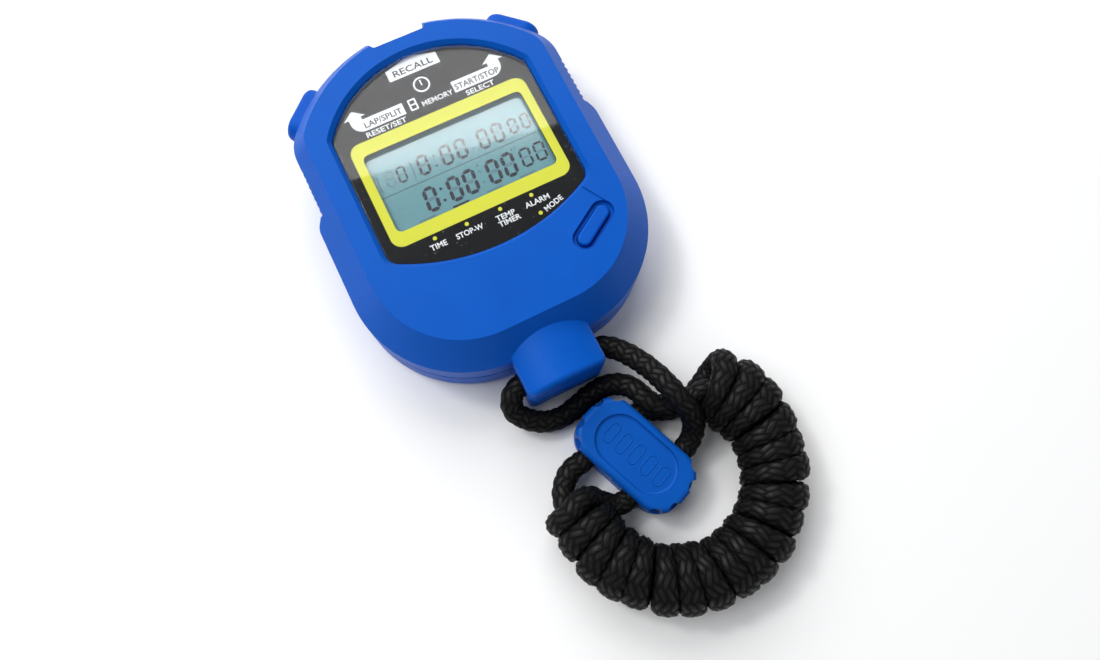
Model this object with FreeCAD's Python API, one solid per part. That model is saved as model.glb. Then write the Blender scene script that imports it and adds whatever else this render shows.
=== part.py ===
"""Digital stopwatch with a braided neck cord, one STEP file per sub-part.

Millimetres. The watch lies on its back: +Z points out of the display, +Y to the recall button
and +X to the right. The origin is the bottom centre of the case, bail included.
"""
import FreeCAD, Part
import math
import os

V = FreeCAD.Vector
X = V(1, 0, 0)
Y = V(0, 1, 0)
Z = V(0, 0, 1)

# ---- Case, overall ----
case_width = 63.0
case_length = 75.6
case_thickness = 20.0
bail_reach = 8.3
seam_z = 8.0
wall = 2.0
face_wall = 3.0
foot_radius = 2.2

# ---- Case outline ----
corner_radius = 24.0
top_arc_excess = 5.3
grip_step = 1.9
grip_step_radius = 2.4
shoulder_radius = 8.0
window_from_top = 34.75
seam_groove_depth = 0.5
seam_groove_half = 0.3
gasket_height = 0.8
gasket_from_side = 0.8
gasket_width = 0.8
gasket_gap = 0.05

# ---- Sloped band round the raised face ----
slope_run_side = 5.0
slope_run_top = 3.1
slope_drop_per_run = 1.24
plateau_shoulder_radius = 6.0
slope_spare = 2.0

# ---- Grip grooves ----
groove_count = 8
groove_pitch = 1.4
groove_radius = 0.55
groove_depth = 0.35
groove_start = 2.9

# ---- Window, print and display ----
window_side_border = 4.9
window_top_border = 6.1
window_arc_lift = 0.65
window_bottom_drop = 19.7
window_bottom_radius = 43.0
window_shoulder_radius = 1.5
window_corner_radius = 3.0
window_sink = 0.8
window_gap = 0.1
lens_thickness = 1.0
lens_edge_round = 0.25
mask_gap = 0.06
mask_thickness = 0.15
view_side_border = 4.0
view_height = 18.05
view_corner_radius = 1.3
view_lift = 0.45
ledge_setback = 0.9
lcd_side_overlap = 2.1
lcd_front_height = 23.4
lcd_rear_height = 26.4
lcd_glass_thickness = 1.0
lcd_gap = 0.1
reflector_thickness = 0.25
reflector_setback = 1.0
zebra_width = 2.0
zebra_edge = 0.3
zebra_setback = 1.5
holder_wall = 0.8
holder_gap = 0.2

# ---- Circuit board and what it carries ----
board_top_z = 10.2
board_thickness = 1.2
board_side_gap = 2.9
board_arc_inset = 9.9
board_boss_gap = 0.4
board_corner_radius = 4.0
blob_radius = 12.0
blob_height = 1.4
blob_x = 3.0
blob_above_window = 7.0
crystal_radius = 1.0
crystal_length = 6.0
crystal_x = 14.0
crystal_below_window = 10.0
chip_length = 1.6
chip_width = 0.8
chip_height = 0.5
chip_spots = ((14, -4), (14, -7), (17, -4), (17, -7), (-16, 8), (-16, 5))
cell_radius = 10.0
cell_thickness = 3.2
cell_x = -3.0
cell_below_window = 26.0
cell_edge_round = 0.4
clip_width = 6.0
clip_gap = 0.2
clip_foot = 2.5
finger_length = 4.0
finger_width = 2.0
finger_foot_length = 8.0
finger_foot_width = 4.0
contact_height = 0.9
strip_thickness = 0.3
piezo_radius = 10.0
piezo_x = 10.0
piezo_above_window = 2.0
piezo_brass = 0.25
piezo_ceramic = 0.2
ceramic_share = 0.7
rim_contact_share = 0.85
piezo_strip_length = 3.0
piezo_strip_width = 1.2
piezo_strip_drop = 1.5

# ---- Screws ----
boss_radius = 2.8
boss_root = 0.2
case_screw_radius = 1.0
case_head_radius = 1.9
case_head_height = 1.4
case_head_seat_z = 2.5
case_screw_tip_z = 13.0
screw_hole_gap = 0.1
thread_gap = 0.02
screw_hole_spare = 0.5
recess_depth_share = 0.6
recess_length_share = 1.2
recess_width_share = 0.25
upper_screw_from_side = 5.3
upper_screw_above_window = 8.8
lower_screw_angle = -60.0
lower_screw_radius = 19.0
board_boss_radius = 1.9
board_screw_radius = 0.8
board_head_radius = 1.5
board_head_height = 0.9
board_screw_length = 4.0
board_screw_spots = ((-9.0, 18.6), (9.0, 18.6), (-17.5, -17.6), (11.0, -17.6))

# ---- Shoulder buttons ----
button_angle = 48.0
button_length = 12.0
button_height = 6.4
button_z = 12.1
button_protrusion = 2.9
button_travel = 1.5
button_gap = 0.2
flange_lip = 0.5
flange_thickness = 1.0
flange_back = 2.9
seat_behind = 0.5
seat_ahead = 0.3
stem_radius = 1.5
contact_clearance = 0.35
leaf_width = 5.0
leaf_height = 3.6
leaf_foot = 2.0
leaf_gap = 0.19
cap_round = 1.2

# ---- Recall button, in a notch at the top ----
notch_half_width = 6.0
notch_depth = 4.5
notch_flare = 0.6
notch_corner_radius = 1.0
notch_floor_z = 9.0
recall_length = 6.0
recall_height = 4.8
recall_z = 12.7
recall_setback = 0.45
recall_travel = 1.2
recall_stem_length = 2.6
pocket_wall = 2.0
pocket_gap = 0.1

# ---- Mode button, on the face ----
mode_x = 17.5
mode_below_window = 24.3
mode_angle = 32.0
mode_length = 9.5
mode_width = 2.9
mode_travel = 0.8
mode_proud = 0.2
mode_pocket_gap = 1.0
mode_pocket_depth = 1.2
zone_sink = 0.3
zone_half_share = 0.98
zone_offset = 0.2
zone_lean = -6.5
zone_far_share = 0.62
mode_flange_lip = 1.0
mode_stem_radius = 1.2
mode_round = 0.5
dome_radius = 2.6
dome_round = 0.6

# ---- Bail ----
bail_width = 16.8
bail_top_z = 17.3
bail_crown_radius = 14.0
bail_foot_z = 1.2
bail_edge = 1.5
bail_rim_round = 1.1
bail_seam_start = 0.2
bail_hole_from_end = 4.75
mouth_flare = 0.5

# ---- Cord and its slider ----
cord_diameter = 4.5
cord_fit = 0.1
cord_rest_z = 2.4
cord_trim_share = 0.45
slider_x = 5.8
slider_y = -60.0
slider_angle = -68.3
slider_length = 25.5
slider_width = 13.6
slider_height = 8.8
slider_corner_radius = 5.2
slider_round = 1.3
slider_seam_depth = 0.35
slider_seam_half = 0.2
side_slot_start = -0.4
side_slot_end = 2.0
side_slot_depth = 0.8
side_slot_low = 0.8
side_slot_high = 2.8
dish_length = 18.6
dish_width = 10.4
dish_depth = 0.7
dish_round_share = 0.9
channel_tilt = -8.0
channel_overhang = 1.5
channel_spots = (-5.9, 5.7)
scallop_radius = 1.5
scallop_depth = 1.1
scallop_spots = ((0.2, -2.9), (0.2, 2.9), (2.6, -6.6), (2.6, 6.6))
coil_x = 10.8
coil_y = -66.5
coil_arc_radius = 20.4
coil_start_angle = 34.0
coil_end_angle = -187.0
coil_cap_gap = 0.02

# ---- Cutting tools ----
overrun = 1.0
far = 200.0
touch = 0.01

# ---- Derived places ----
y_top = (case_length + bail_reach) / 2
y_bottom = y_top - case_length
y_end = y_bottom - bail_reach
half_width = case_width / 2
upper_half = half_width - grip_step
top_radius = upper_half + top_arc_excess
top_centre_y = y_top - top_radius
window_y = y_top - window_from_top
plateau_half = half_width - slope_run_side
plateau_top_radius = top_radius - slope_run_top
plateau_corner_radius = corner_radius - slope_run_side
window_half = plateau_half - window_side_border
window_top_radius = plateau_top_radius - window_top_border
view_half = window_half - view_side_border
view_y = window_y + view_lift
lens_top_z = case_thickness - window_sink
lens_bottom_z = lens_top_z - lens_thickness
mask_top_z = lens_bottom_z - mask_gap
ledge_z = mask_top_z - mask_thickness
ceiling_z = case_thickness - face_wall
lcd_top_z = ceiling_z - lcd_gap
lcd_bottom_z = lcd_top_z - 2 * lcd_glass_thickness
lcd_half = view_half + lcd_side_overlap
holder_top_y = window_y + lcd_rear_height / 2 + holder_gap + holder_wall
leaf_foot_start = ((holder_top_y - top_centre_y + leaf_width / 2 * math.cos(math.radians(button_angle)))
                   / math.sin(math.radians(button_angle)) + leaf_gap)
leaf_face = leaf_foot_start + leaf_foot
stem_length = (top_radius - flange_back - flange_thickness
               - (leaf_face + contact_clearance + button_travel))
board_bottom_z = board_top_z - board_thickness
cell_top_z = board_bottom_z - contact_height
cell_y = window_y - cell_below_window
cord_radius = cord_diameter / 2
bail_hole_y = y_end + bail_hole_from_end
hole_radius = cord_radius + cord_fit
wrap_radius = cord_diameter
coil_tube_radius = wrap_radius + cord_radius
coil_z = coil_tube_radius + (cord_rest_z - cord_radius)


# ---- Outlines ----
def arc(centre_x, centre_y, radius, start, end):
    """Circular edge in the XY plane, angles in degrees."""
    middle = (start + end) / 2
    return Part.Arc(*(
        V(centre_x + radius * math.cos(math.radians(a)), centre_y + radius * math.sin(math.radians(a)), 0)
        for a in (start, middle, end))).toShape()


def line(start, end):
    return Part.makeLine(V(*start, 0), V(*end, 0))


def mirrored_face(right_edges):
    """Closed face from the edges of its right half and their mirror images in X = 0."""
    left_edges = [edge.mirror(V(0, 0, 0), X) for edge in right_edges]
    return Part.Face(Part.Wire(Part.__sortEdges__(right_edges + left_edges)))


def shoulder(radius, top_centre, half, fillet):
    """Centre height and angle of the fillet between a side line and the top arc."""
    rise = math.sqrt((radius - fillet) ** 2 - (half - fillet) ** 2)
    angle = math.degrees(math.atan2(rise, half - fillet))
    return top_centre + rise, angle


def case_face(inset):
    """The case seen from above: round bottom corners, a step in at the grip and a wide top arc."""
    half = half_width - inset
    upper = upper_half - inset
    corner_x = half_width - corner_radius
    corner_y = y_bottom + corner_radius
    turn = math.degrees(math.acos(1 - grip_step / (2 * grip_step_radius)))
    step_y = window_y
    step_end = step_y + 2 * grip_step_radius * math.sin(math.radians(turn))
    fillet_y, fillet_angle = shoulder(top_radius - inset, top_centre_y, upper, shoulder_radius - inset)
    return mirrored_face([
        line((0, y_bottom + inset), (corner_x, y_bottom + inset)),
        arc(corner_x, corner_y, corner_radius - inset, -90, 0),
        line((half, corner_y), (half, step_y)),
        arc(half_width - grip_step_radius, step_y, grip_step_radius - inset, 0, turn),
        arc(upper_half + grip_step_radius, step_end, grip_step_radius + inset, 180 + turn, 180),
        line((upper, step_end), (upper, fillet_y)),
        arc(upper_half - shoulder_radius, fillet_y, shoulder_radius - inset, 0, fillet_angle),
        arc(0, top_centre_y, top_radius - inset, fillet_angle, 90),
    ])


def plateau_face(grow):
    """Outline of the raised face, grown outwards on every side."""
    half = plateau_half + grow
    corner_x = half_width - corner_radius
    corner_y = y_bottom + corner_radius
    bottom = corner_y - plateau_corner_radius - grow
    radius = plateau_top_radius + grow
    fillet = plateau_shoulder_radius + grow
    fillet_y, fillet_angle = shoulder(radius, top_centre_y, half, fillet)
    return mirrored_face([
        line((0, bottom), (corner_x, bottom)),
        arc(corner_x, corner_y, plateau_corner_radius + grow, -90, 0),
        line((half, corner_y), (half, fillet_y)),
        arc(half - fillet, fillet_y, fillet, 0, fillet_angle),
        arc(0, top_centre_y, radius, fillet_angle, 90),
    ])


def window_face(grow):
    """Outline of the window: straight sides, a high arc on top and a flat arc below."""
    half = window_half + grow
    top = window_top_radius + grow
    top_y = window_y + window_arc_lift
    bottom = window_bottom_radius + grow
    bottom_y = window_y - window_bottom_drop + window_bottom_radius
    upper_fillet = window_shoulder_radius + grow
    lower_fillet = window_corner_radius + grow
    upper_y, upper_angle = shoulder(top, top_y, half, upper_fillet)
    drop = math.sqrt((bottom - lower_fillet) ** 2 - (half - lower_fillet) ** 2)
    lower_angle = -math.degrees(math.atan2(drop, half - lower_fillet))
    return mirrored_face([
        arc(0, bottom_y, bottom, -90, lower_angle),
        arc(half - lower_fillet, bottom_y - drop, lower_fillet, lower_angle, 0),
        line((half, bottom_y - drop), (half, upper_y)),
        arc(half - upper_fillet, upper_y, upper_fillet, 0, upper_angle),
        arc(0, top_y, top, upper_angle, 90),
    ])


def pill_face(length, width):
    """Stadium along X, centred on the origin."""
    radius = width / 2
    straight = length / 2 - radius
    edges = [
        line((-straight, -radius), (straight, -radius)),
        arc(straight, 0, radius, -90, 90),
        line((straight, radius), (-straight, radius)),
        arc(-straight, 0, radius, 90, 270),
    ]
    return Part.Face(Part.Wire(edges))


def rounded_rectangle(width, height, radius):
    """Rectangle with round corners, centred on the origin."""
    half_x = width / 2 - radius
    half_y = height / 2 - radius
    edges = []
    for sign_x, sign_y, start in ((1, -1, -90), (1, 1, 0), (-1, 1, 90), (-1, -1, 180)):
        edges.append(arc(sign_x * half_x, sign_y * half_y, radius, start, start + 90))
    corners = [(edge.Vertexes[0].Point, edge.Vertexes[-1].Point) for edge in edges]
    for index in range(4):
        edges.append(Part.makeLine(corners[index][1], corners[(index + 1) % 4][0]))
    return Part.Face(Part.Wire(Part.__sortEdges__(edges)))


def prism(face, low, high):
    """Straight solid on a face that lies in Z = 0."""
    return face.translated(V(0, 0, low)).extrude(V(0, 0, high - low))


def box(x0, x1, y0, y1, z0, z1):
    return Part.makeBox(x1 - x0, y1 - y0, z1 - z0, V(x0, y0, z0))


def cylinder(radius, x, y, low, high):
    return Part.makeCylinder(radius, high - low, V(x, y, low))


def fuse(shapes):
    first, *rest = shapes
    return first.multiFuse(rest).removeSplitter() if rest else first


def group(shapes):
    """Several separate solids kept in one file."""
    return Part.makeCompound(shapes)


def outer_edges_at(shape, test):
    return [edge for edge in shape.Edges if test(edge)]


# ---- Case envelope ----
def sloped_hull(inset):
    """Raised face and sloped band as one frustum, moved inwards by a wall thickness."""
    top_z = case_thickness - inset
    slope = math.atan(slope_drop_per_run)
    grow_top = -inset * math.tan(slope / 2)
    run = slope_run_side + slope_spare
    low_z = top_z - run * slope_drop_per_run
    wires = [plateau_face(grow_top).OuterWire, plateau_face(grow_top + run).OuterWire]
    wires[0].translate(V(0, 0, top_z))
    wires[1].translate(V(0, 0, low_z))
    hull = Part.makeLoft(wires, True, True)
    return hull.fuse(prism(plateau_face(grow_top + run), inset, low_z)).removeSplitter()


def envelope(inset):
    """Outside of the case, or with an inset the space inside its wall."""
    return prism(case_face(inset), inset, case_thickness - inset).common(sloped_hull(inset))


def outer_body():
    body = envelope(0)
    feet = outer_edges_at(body, lambda edge: edge.BoundBox.ZMax < touch)
    return body.makeFillet(foot_radius, feet)


def cavity():
    return envelope(wall).common(box(-far, far, -far, far, 0, ceiling_z))


def screw_spots():
    """Centres of the four case screws."""
    reach = math.radians(lower_screw_angle)
    corner_x = half_width - corner_radius
    corner_y = y_bottom + corner_radius
    low_x = corner_x + lower_screw_radius * math.cos(reach)
    low_y = corner_y + lower_screw_radius * math.sin(reach)
    high_x = upper_half - upper_screw_from_side
    high_y = window_y + upper_screw_above_window
    return [(-high_x, high_y), (high_x, high_y), (-low_x, low_y), (low_x, low_y)]


def board_spots():
    return [(x, window_y + y) for x, y in board_screw_spots]


def grip_grooves():
    """Upright grooves down both sides above the grip step."""
    grooves = []
    for side in (-1, 1):
        for index in range(groove_count):
            x = side * (upper_half + groove_radius - groove_depth)
            y = window_y + groove_start + index * groove_pitch
            grooves.append(cylinder(groove_radius, x, y, -overrun, case_thickness + overrun))
    return grooves


def seam_groove():
    """Shadow gap round the case where the two shells meet."""
    low = seam_z - seam_groove_half
    high = seam_z + seam_groove_half
    return prism(case_face(-overrun), low, high).cut(prism(case_face(seam_groove_depth), low, high))


# ---- Bail ----
def bail_block():
    """Crowned block that sticks out of the bottom of the case."""
    half = bail_width / 2
    block = box(-half, half, y_end, y_bottom + slope_run_side, bail_foot_z, bail_top_z)
    corners = outer_edges_at(block, lambda edge: abs(edge.CenterOfMass.y - y_end) < touch
                             and edge.BoundBox.ZLength > overrun)
    block = block.makeFillet(bail_edge, corners)
    length = y_bottom + slope_run_side - y_end
    crown_z = bail_top_z - bail_crown_radius
    crown = Part.makeCylinder(bail_crown_radius, length + 2 * overrun, V(0, y_end - overrun, crown_z), Y)
    low_part = box(-half, half, y_end, y_bottom + slope_run_side, bail_foot_z, crown_z)
    block = block.common(crown.fuse(low_part))
    rims = outer_edges_at(block, lambda edge: abs(edge.CenterOfMass.y - y_end) < bail_rim_round
                          and (edge.BoundBox.ZMin > seam_z + cord_radius
                               or edge.BoundBox.ZMax < bail_foot_z + touch))
    return block.makeFillet(bail_rim_round, rims)


def bail_hole():
    """Passage of the cord along X, flared at both mouths."""
    half = bail_width / 2
    start = V(-half - overrun, bail_hole_y, seam_z)
    hole = Part.makeCylinder(hole_radius, bail_width + 2 * overrun, start, X)
    flares = []
    for side in (-1, 1):
        flares.append(Part.makeCone(hole_radius, hole_radius + mouth_flare, mouth_flare,
                                    V(side * (half - mouth_flare), bail_hole_y, seam_z), V(side, 0, 0)))
    return fuse([hole] + flares)


def bail_seam():
    """Shadow gap between the two halves of the bail."""
    half = bail_width / 2
    low = seam_z - seam_groove_half
    high = seam_z + seam_groove_half
    ring = box(-half - overrun, half + overrun, y_end - overrun, y_bottom - bail_seam_start, low, high)
    depth = seam_groove_depth
    return ring.cut(box(-half + depth, half - depth, y_end + depth, y_bottom, low, high))


# ---- Button shapes, built along +X from the centre of the top arc ----
def pill_along_x(start, end, length, height):
    face = pill_face(length, height)
    face.rotate(V(0, 0, 0), Z, 90)
    face.rotate(V(0, 0, 0), Y, 90)
    return face.translated(V(start, 0, 0)).extrude(V(end - start, 0, 0))


def at_button(shape, angle, height):
    shape.rotate(V(0, 0, 0), Z, angle)
    shape.translate(V(0, top_centre_y, height))
    return shape


def side_button(length, height, cap_end, flange_start, stem):
    """Cap, retaining flange and stem of a button that slides along X."""
    cap = pill_along_x(flange_start, cap_end, length, height)
    rims = outer_edges_at(cap, lambda edge: abs(edge.BoundBox.XMin - cap_end) < touch)
    cap = cap.makeFillet(cap_round, rims)
    flange = pill_along_x(flange_start - flange_thickness, flange_start,
                          length + 2 * flange_lip, height + 2 * flange_lip)
    stem_end = flange_start - flange_thickness - stem
    rod = Part.makeCylinder(stem_radius, stem, V(stem_end, 0, 0), X)
    return fuse([cap, flange, rod])


def shoulder_button(angle):
    flange_start = top_radius - flange_back
    shape = side_button(button_length, button_height, top_radius + button_protrusion, flange_start, stem_length)
    return at_button(shape, angle, button_z)


def shoulder_hole(angle):
    hole = pill_along_x(top_radius - flange_back - overrun, top_radius + button_protrusion,
                        button_length + 2 * button_gap, button_height + 2 * button_gap)
    return at_button(hole, angle, button_z)


def shoulder_seat(angle):
    """Room inside the wall for the flange over its whole stroke."""
    seat = pill_along_x(top_radius - flange_back - flange_thickness - button_travel - seat_behind,
                        top_radius - flange_back + seat_ahead,
                        button_length + 2 * flange_lip + 2 * button_gap,
                        button_height + 2 * flange_lip + 2 * button_gap)
    return at_button(seat, angle, button_z)


notch_back = top_radius - notch_depth
recall_flange = notch_back - pocket_wall - pocket_gap


def recall_button():
    shape = side_button(recall_length, recall_height, top_radius - recall_setback, recall_flange,
                        recall_stem_length)
    return at_button(shape, 90, recall_z)


def recall_pocket():
    """Thick wall behind the notch."""
    block = box(-notch_half_width - pocket_wall, notch_half_width + pocket_wall,
                top_centre_y + notch_back - pocket_wall, y_top, seam_z, case_thickness)
    return block.common(envelope(0))


def notch():
    """Scoop at the top of the case, open upwards and outwards, with flared sides."""
    back = top_centre_y + notch_back
    points = [(-notch_half_width, back), (notch_half_width, back),
              (notch_half_width + notch_flare, y_top + overrun), (-notch_half_width - notch_flare, y_top + overrun)]
    corners = [V(x, y, 0) for x, y in points]
    scoop = prism(Part.Face(Part.makePolygon(corners + corners[:1])), notch_floor_z,
                  case_thickness + overrun)
    edges = outer_edges_at(scoop, lambda edge: edge.BoundBox.ZLength > overrun
                           and edge.BoundBox.YMax < back + touch)
    return scoop.makeFillet(notch_corner_radius, edges)


def recall_hole():
    hole = pill_along_x(notch_back - pocket_wall - overrun, notch_back + overrun,
                        recall_length + 2 * button_gap, recall_height + 2 * button_gap)
    return at_button(hole, 90, recall_z)


# ---- Mode button ----
def at_mode(shape):
    shape.rotate(V(0, 0, 0), Z, mode_angle)
    shape.translate(V(mode_x, window_y - mode_below_window, 0))
    return shape


def mode_prism(grow, low, high):
    return at_mode(prism(pill_face(mode_length + 2 * grow, mode_width + 2 * grow), low, high))


def mode_button():
    top_z = case_thickness - zone_sink + mode_proud
    flange_top = ceiling_z - lcd_gap
    cap = prism(pill_face(mode_length, mode_width), flange_top, top_z)
    rims = outer_edges_at(cap, lambda edge: edge.BoundBox.ZMin > top_z - touch)
    cap = cap.makeFillet(mode_round, rims)
    flange = prism(pill_face(mode_length + 2 * mode_flange_lip, mode_width + 2 * mode_flange_lip),
                   flange_top - flange_thickness, flange_top)
    stem_low = board_top_z + contact_height + mode_travel + contact_clearance
    stem = cylinder(mode_stem_radius, 0, 0, stem_low, flange_top - flange_thickness)
    return at_mode(fuse([cap, flange, stem]))


def mode_zone():
    """Shallow wedge between the window and the mode button, a step below the raised face."""
    spread = mode_length / 2 + mode_pocket_gap
    turn = math.radians(mode_angle)
    along = V(math.cos(turn), math.sin(turn), 0)
    across = V(-math.sin(turn), math.cos(turn), 0)
    centre = V(mode_x, window_y - mode_below_window, 0)
    towards_window = V(zone_lean, window_bottom_drop / 2, 0) - along
    low_left = centre - along * spread * zone_half_share + across * zone_offset
    low_right = centre + along * spread * zone_half_share + across * zone_offset
    corners = [low_left, low_right, low_right + towards_window * zone_far_share + along,
               low_left + towards_window]
    low = case_thickness - zone_sink
    high = case_thickness + overrun
    zone = prism(Part.Face(Part.makePolygon(corners + corners[:1])), low, high)
    return zone.fuse(mode_prism(mode_pocket_gap, low, high))


# ---- Shells ----
def boss_set(spots, radius, low, high):
    return [cylinder(radius, x, y, low, high) for x, y in spots]


def hanging_posts(spots, radius, low):
    """Posts that hang from the inside of the front shell and end inside its sloped wall."""
    return group(boss_set(spots, radius, low, ceiling_z + wall / 2)).common(envelope(wall / 2))


def front_shell():
    shell = fuse([outer_body(), bail_block()]).cut(cavity())
    shell = shell.common(box(-far, far, -far, far, seam_z, far))
    shell = fuse([shell, recall_pocket(),
                  hanging_posts(screw_spots(), boss_radius, seam_z),
                  hanging_posts(board_spots(), board_boss_radius, board_top_z)])
    recess = Part.makeLoft([
        window_face(window_gap).OuterWire.translated(V(0, 0, lens_top_z)),
        window_face(window_gap + window_sink).OuterWire.translated(V(0, 0, case_thickness)),
    ], True, True)
    opening = rounded_rectangle(2 * (view_half + ledge_setback), view_height + 2 * ledge_setback,
                                view_corner_radius)
    tools = [
        recess,
        prism(window_face(window_gap), ledge_z, lens_top_z + touch),
        prism(opening, ceiling_z - overrun, ledge_z + overrun).translated(V(0, view_y, 0)),
        shoulder_hole(button_angle),
        shoulder_hole(180 - button_angle),
        shoulder_seat(button_angle),
        shoulder_seat(180 - button_angle),
        notch(),
        recall_hole(),
        mode_zone(),
        mode_prism(mode_pocket_gap, case_thickness - mode_pocket_depth, case_thickness + overrun),
        mode_prism(button_gap, ceiling_z - overrun, case_thickness),
        bail_hole(),
        seam_groove(),
        bail_seam(),
    ]
    tools += boss_set(screw_spots(), case_screw_radius + thread_gap, seam_z - overrun,
                      case_screw_tip_z + screw_hole_spare)
    tools += boss_set(board_spots(), board_screw_radius + thread_gap, board_top_z - overrun,
                      board_bottom_z + board_screw_length + screw_hole_spare)
    for tool in tools + grip_grooves():
        shell = shell.cut(tool)
    return shell


def rear_shell():
    shell = fuse([outer_body(), bail_block()]).cut(cavity())
    shell = shell.common(box(-far, far, -far, far, -far, seam_z))
    shell = fuse([shell] + boss_set(screw_spots(), boss_radius, wall - boss_root, seam_z))
    tools = [gasket_ring(gasket_gap), bail_hole(), seam_groove(), bail_seam()]
    tools += boss_set(screw_spots(), case_screw_radius + screw_hole_gap, -overrun, seam_z + overrun)
    tools += boss_set(screw_spots(), case_head_radius + screw_hole_gap, -overrun, case_head_seat_z)
    for tool in tools + grip_grooves():
        shell = shell.cut(tool)
    return shell


def gasket_ring(gap):
    """Seal in the rim of the rear shell, or with a gap the groove that holds it."""
    low = seam_z - gasket_height - gap
    outer = prism(case_face(gasket_from_side - gap), low, seam_z)
    inner = case_face(gasket_from_side + gasket_width + gap)
    return outer.cut(prism(inner, low - overrun, seam_z + overrun))


def screws(spots, head, head_height, shank, seat, tip):
    """Cross-recess screws driven upwards, their heads below the seat."""
    solids = []
    for x, y in spots:
        screw = fuse([cylinder(head, x, y, seat - head_height, seat), cylinder(shank, x, y, seat, tip)])
        low = seat - head_height
        depth = head_height * recess_depth_share
        length = head * recess_length_share
        width = head * recess_width_share
        for size_x, size_y in ((length, width), (width, length)):
            screw = screw.cut(box(x - size_x / 2, x + size_x / 2, y - size_y / 2, y + size_y / 2,
                                  low - overrun, low + depth))
        solids.append(screw)
    return group(solids)


# ---- Window and display ----
def window_lens():
    lens = prism(window_face(0), lens_bottom_z, lens_top_z)
    rims = outer_edges_at(lens, lambda edge: edge.BoundBox.ZMin > lens_top_z - touch)
    return lens.makeFillet(lens_edge_round, rims)


def printed_mask():
    view = rounded_rectangle(2 * view_half, view_height, view_corner_radius)
    return prism(window_face(0), ledge_z, mask_top_z).cut(
        prism(view, ledge_z - overrun, mask_top_z + overrun).translated(V(0, view_y, 0)))


def centred_plate(half, height, low, high):
    return box(-half, half, window_y - height / 2, window_y + height / 2, low, high)


def lcd_front_glass():
    return centred_plate(lcd_half, lcd_front_height, lcd_top_z - lcd_glass_thickness, lcd_top_z)


def lcd_rear_glass():
    return centred_plate(lcd_half, lcd_rear_height, lcd_bottom_z, lcd_bottom_z + lcd_glass_thickness)


def lcd_reflector():
    height = lcd_rear_height - 2 * (zebra_width + 2 * zebra_edge)
    return centred_plate(lcd_half - reflector_setback, height, lcd_bottom_z - reflector_thickness, lcd_bottom_z)


def zebra_strip(side):
    edge = window_y + side * (lcd_rear_height / 2 - zebra_edge)
    low, high = sorted((edge, edge - side * zebra_width))
    return box(-lcd_half + zebra_setback, lcd_half - zebra_setback, low, high, board_top_z, lcd_bottom_z)


def lcd_holder():
    inner_half = lcd_half + holder_gap
    inner_height = lcd_rear_height + 2 * holder_gap
    outer = centred_plate(inner_half + holder_wall, inner_height + 2 * holder_wall, board_top_z, lcd_top_z)
    return outer.cut(centred_plate(inner_half, inner_height, board_top_z - overrun, lcd_top_z + overrun))


# ---- Board ----
def circuit_board():
    radius = top_radius - board_arc_inset
    half = upper_half - board_side_gap
    corner_x = half_width - corner_radius
    corner_y = y_bottom + corner_radius
    corner = half - corner_x
    fillet = board_corner_radius
    lowered = 2 * fillet
    fillet_y, fillet_angle = shoulder(radius + lowered, top_centre_y - lowered, half, fillet)
    face = mirrored_face([
        line((0, corner_y - corner), (corner_x, corner_y - corner)),
        arc(corner_x, corner_y, corner, -90, 0),
        line((half, corner_y), (half, fillet_y)),
        arc(half - fillet, fillet_y, fillet, 0, fillet_angle),
        arc(0, top_centre_y - lowered, radius + lowered, fillet_angle, 90),
    ])
    board = prism(face, board_bottom_z, board_top_z)
    tools = boss_set(screw_spots(), boss_radius + board_boss_gap, board_bottom_z - overrun,
                     board_top_z + overrun)
    tools += boss_set(board_spots(), board_screw_radius + screw_hole_gap, board_bottom_z - overrun,
                      board_top_z + overrun)
    for tool in tools:
        board = board.cut(tool)
    return board


def chip_blob():
    """Black resin dome over the bare chip, under the board."""
    low = board_bottom_z - blob_height
    ball = Part.makeSphere(blob_radius, V(blob_x, window_y + blob_above_window, low + blob_radius))
    return ball.common(box(-far, far, -far, far, low - overrun, board_bottom_z))


def crystal():
    """Tuning-fork crystal can lying under the board."""
    start = V(crystal_x, window_y - crystal_below_window, board_bottom_z - crystal_radius)
    return Part.makeCylinder(crystal_radius, crystal_length, start, X)


def board_parts():
    """Small chip resistors and capacitors under the board."""
    half_x = chip_length / 2
    half_y = chip_width / 2
    return group([box(x - half_x, x + half_x, window_y + y - half_y, window_y + y + half_y,
                      board_bottom_z - chip_height, board_bottom_z) for x, y in chip_spots])


def coin_cell():
    cell = cylinder(cell_radius, cell_x, cell_y, cell_top_z - cell_thickness, cell_top_z)
    rims = outer_edges_at(cell, lambda edge: edge.BoundBox.ZMax < cell_top_z - cell_thickness + touch)
    return cell.makeFillet(cell_edge_round, rims)


def cell_clip():
    """Metal strap that holds the cell up against the board."""
    low = cell_top_z - cell_thickness - strip_thickness
    reach = cell_radius + clip_gap
    side_y = (cell_y - clip_width / 2, cell_y + clip_width / 2)
    strap = box(cell_x - reach - strip_thickness, cell_x + reach + strip_thickness, *side_y,
                low, low + strip_thickness)
    legs = []
    for side in (-1, 1):
        inner, outer = sorted((cell_x + side * reach, cell_x + side * (reach + strip_thickness)))
        legs.append(box(inner, outer, *side_y, low, board_bottom_z))
        inner, outer = sorted((cell_x + side * reach, cell_x + side * (reach + clip_foot)))
        legs.append(box(inner, outer, *side_y, board_bottom_z - strip_thickness, board_bottom_z))
    return fuse([strap] + legs)


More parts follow.
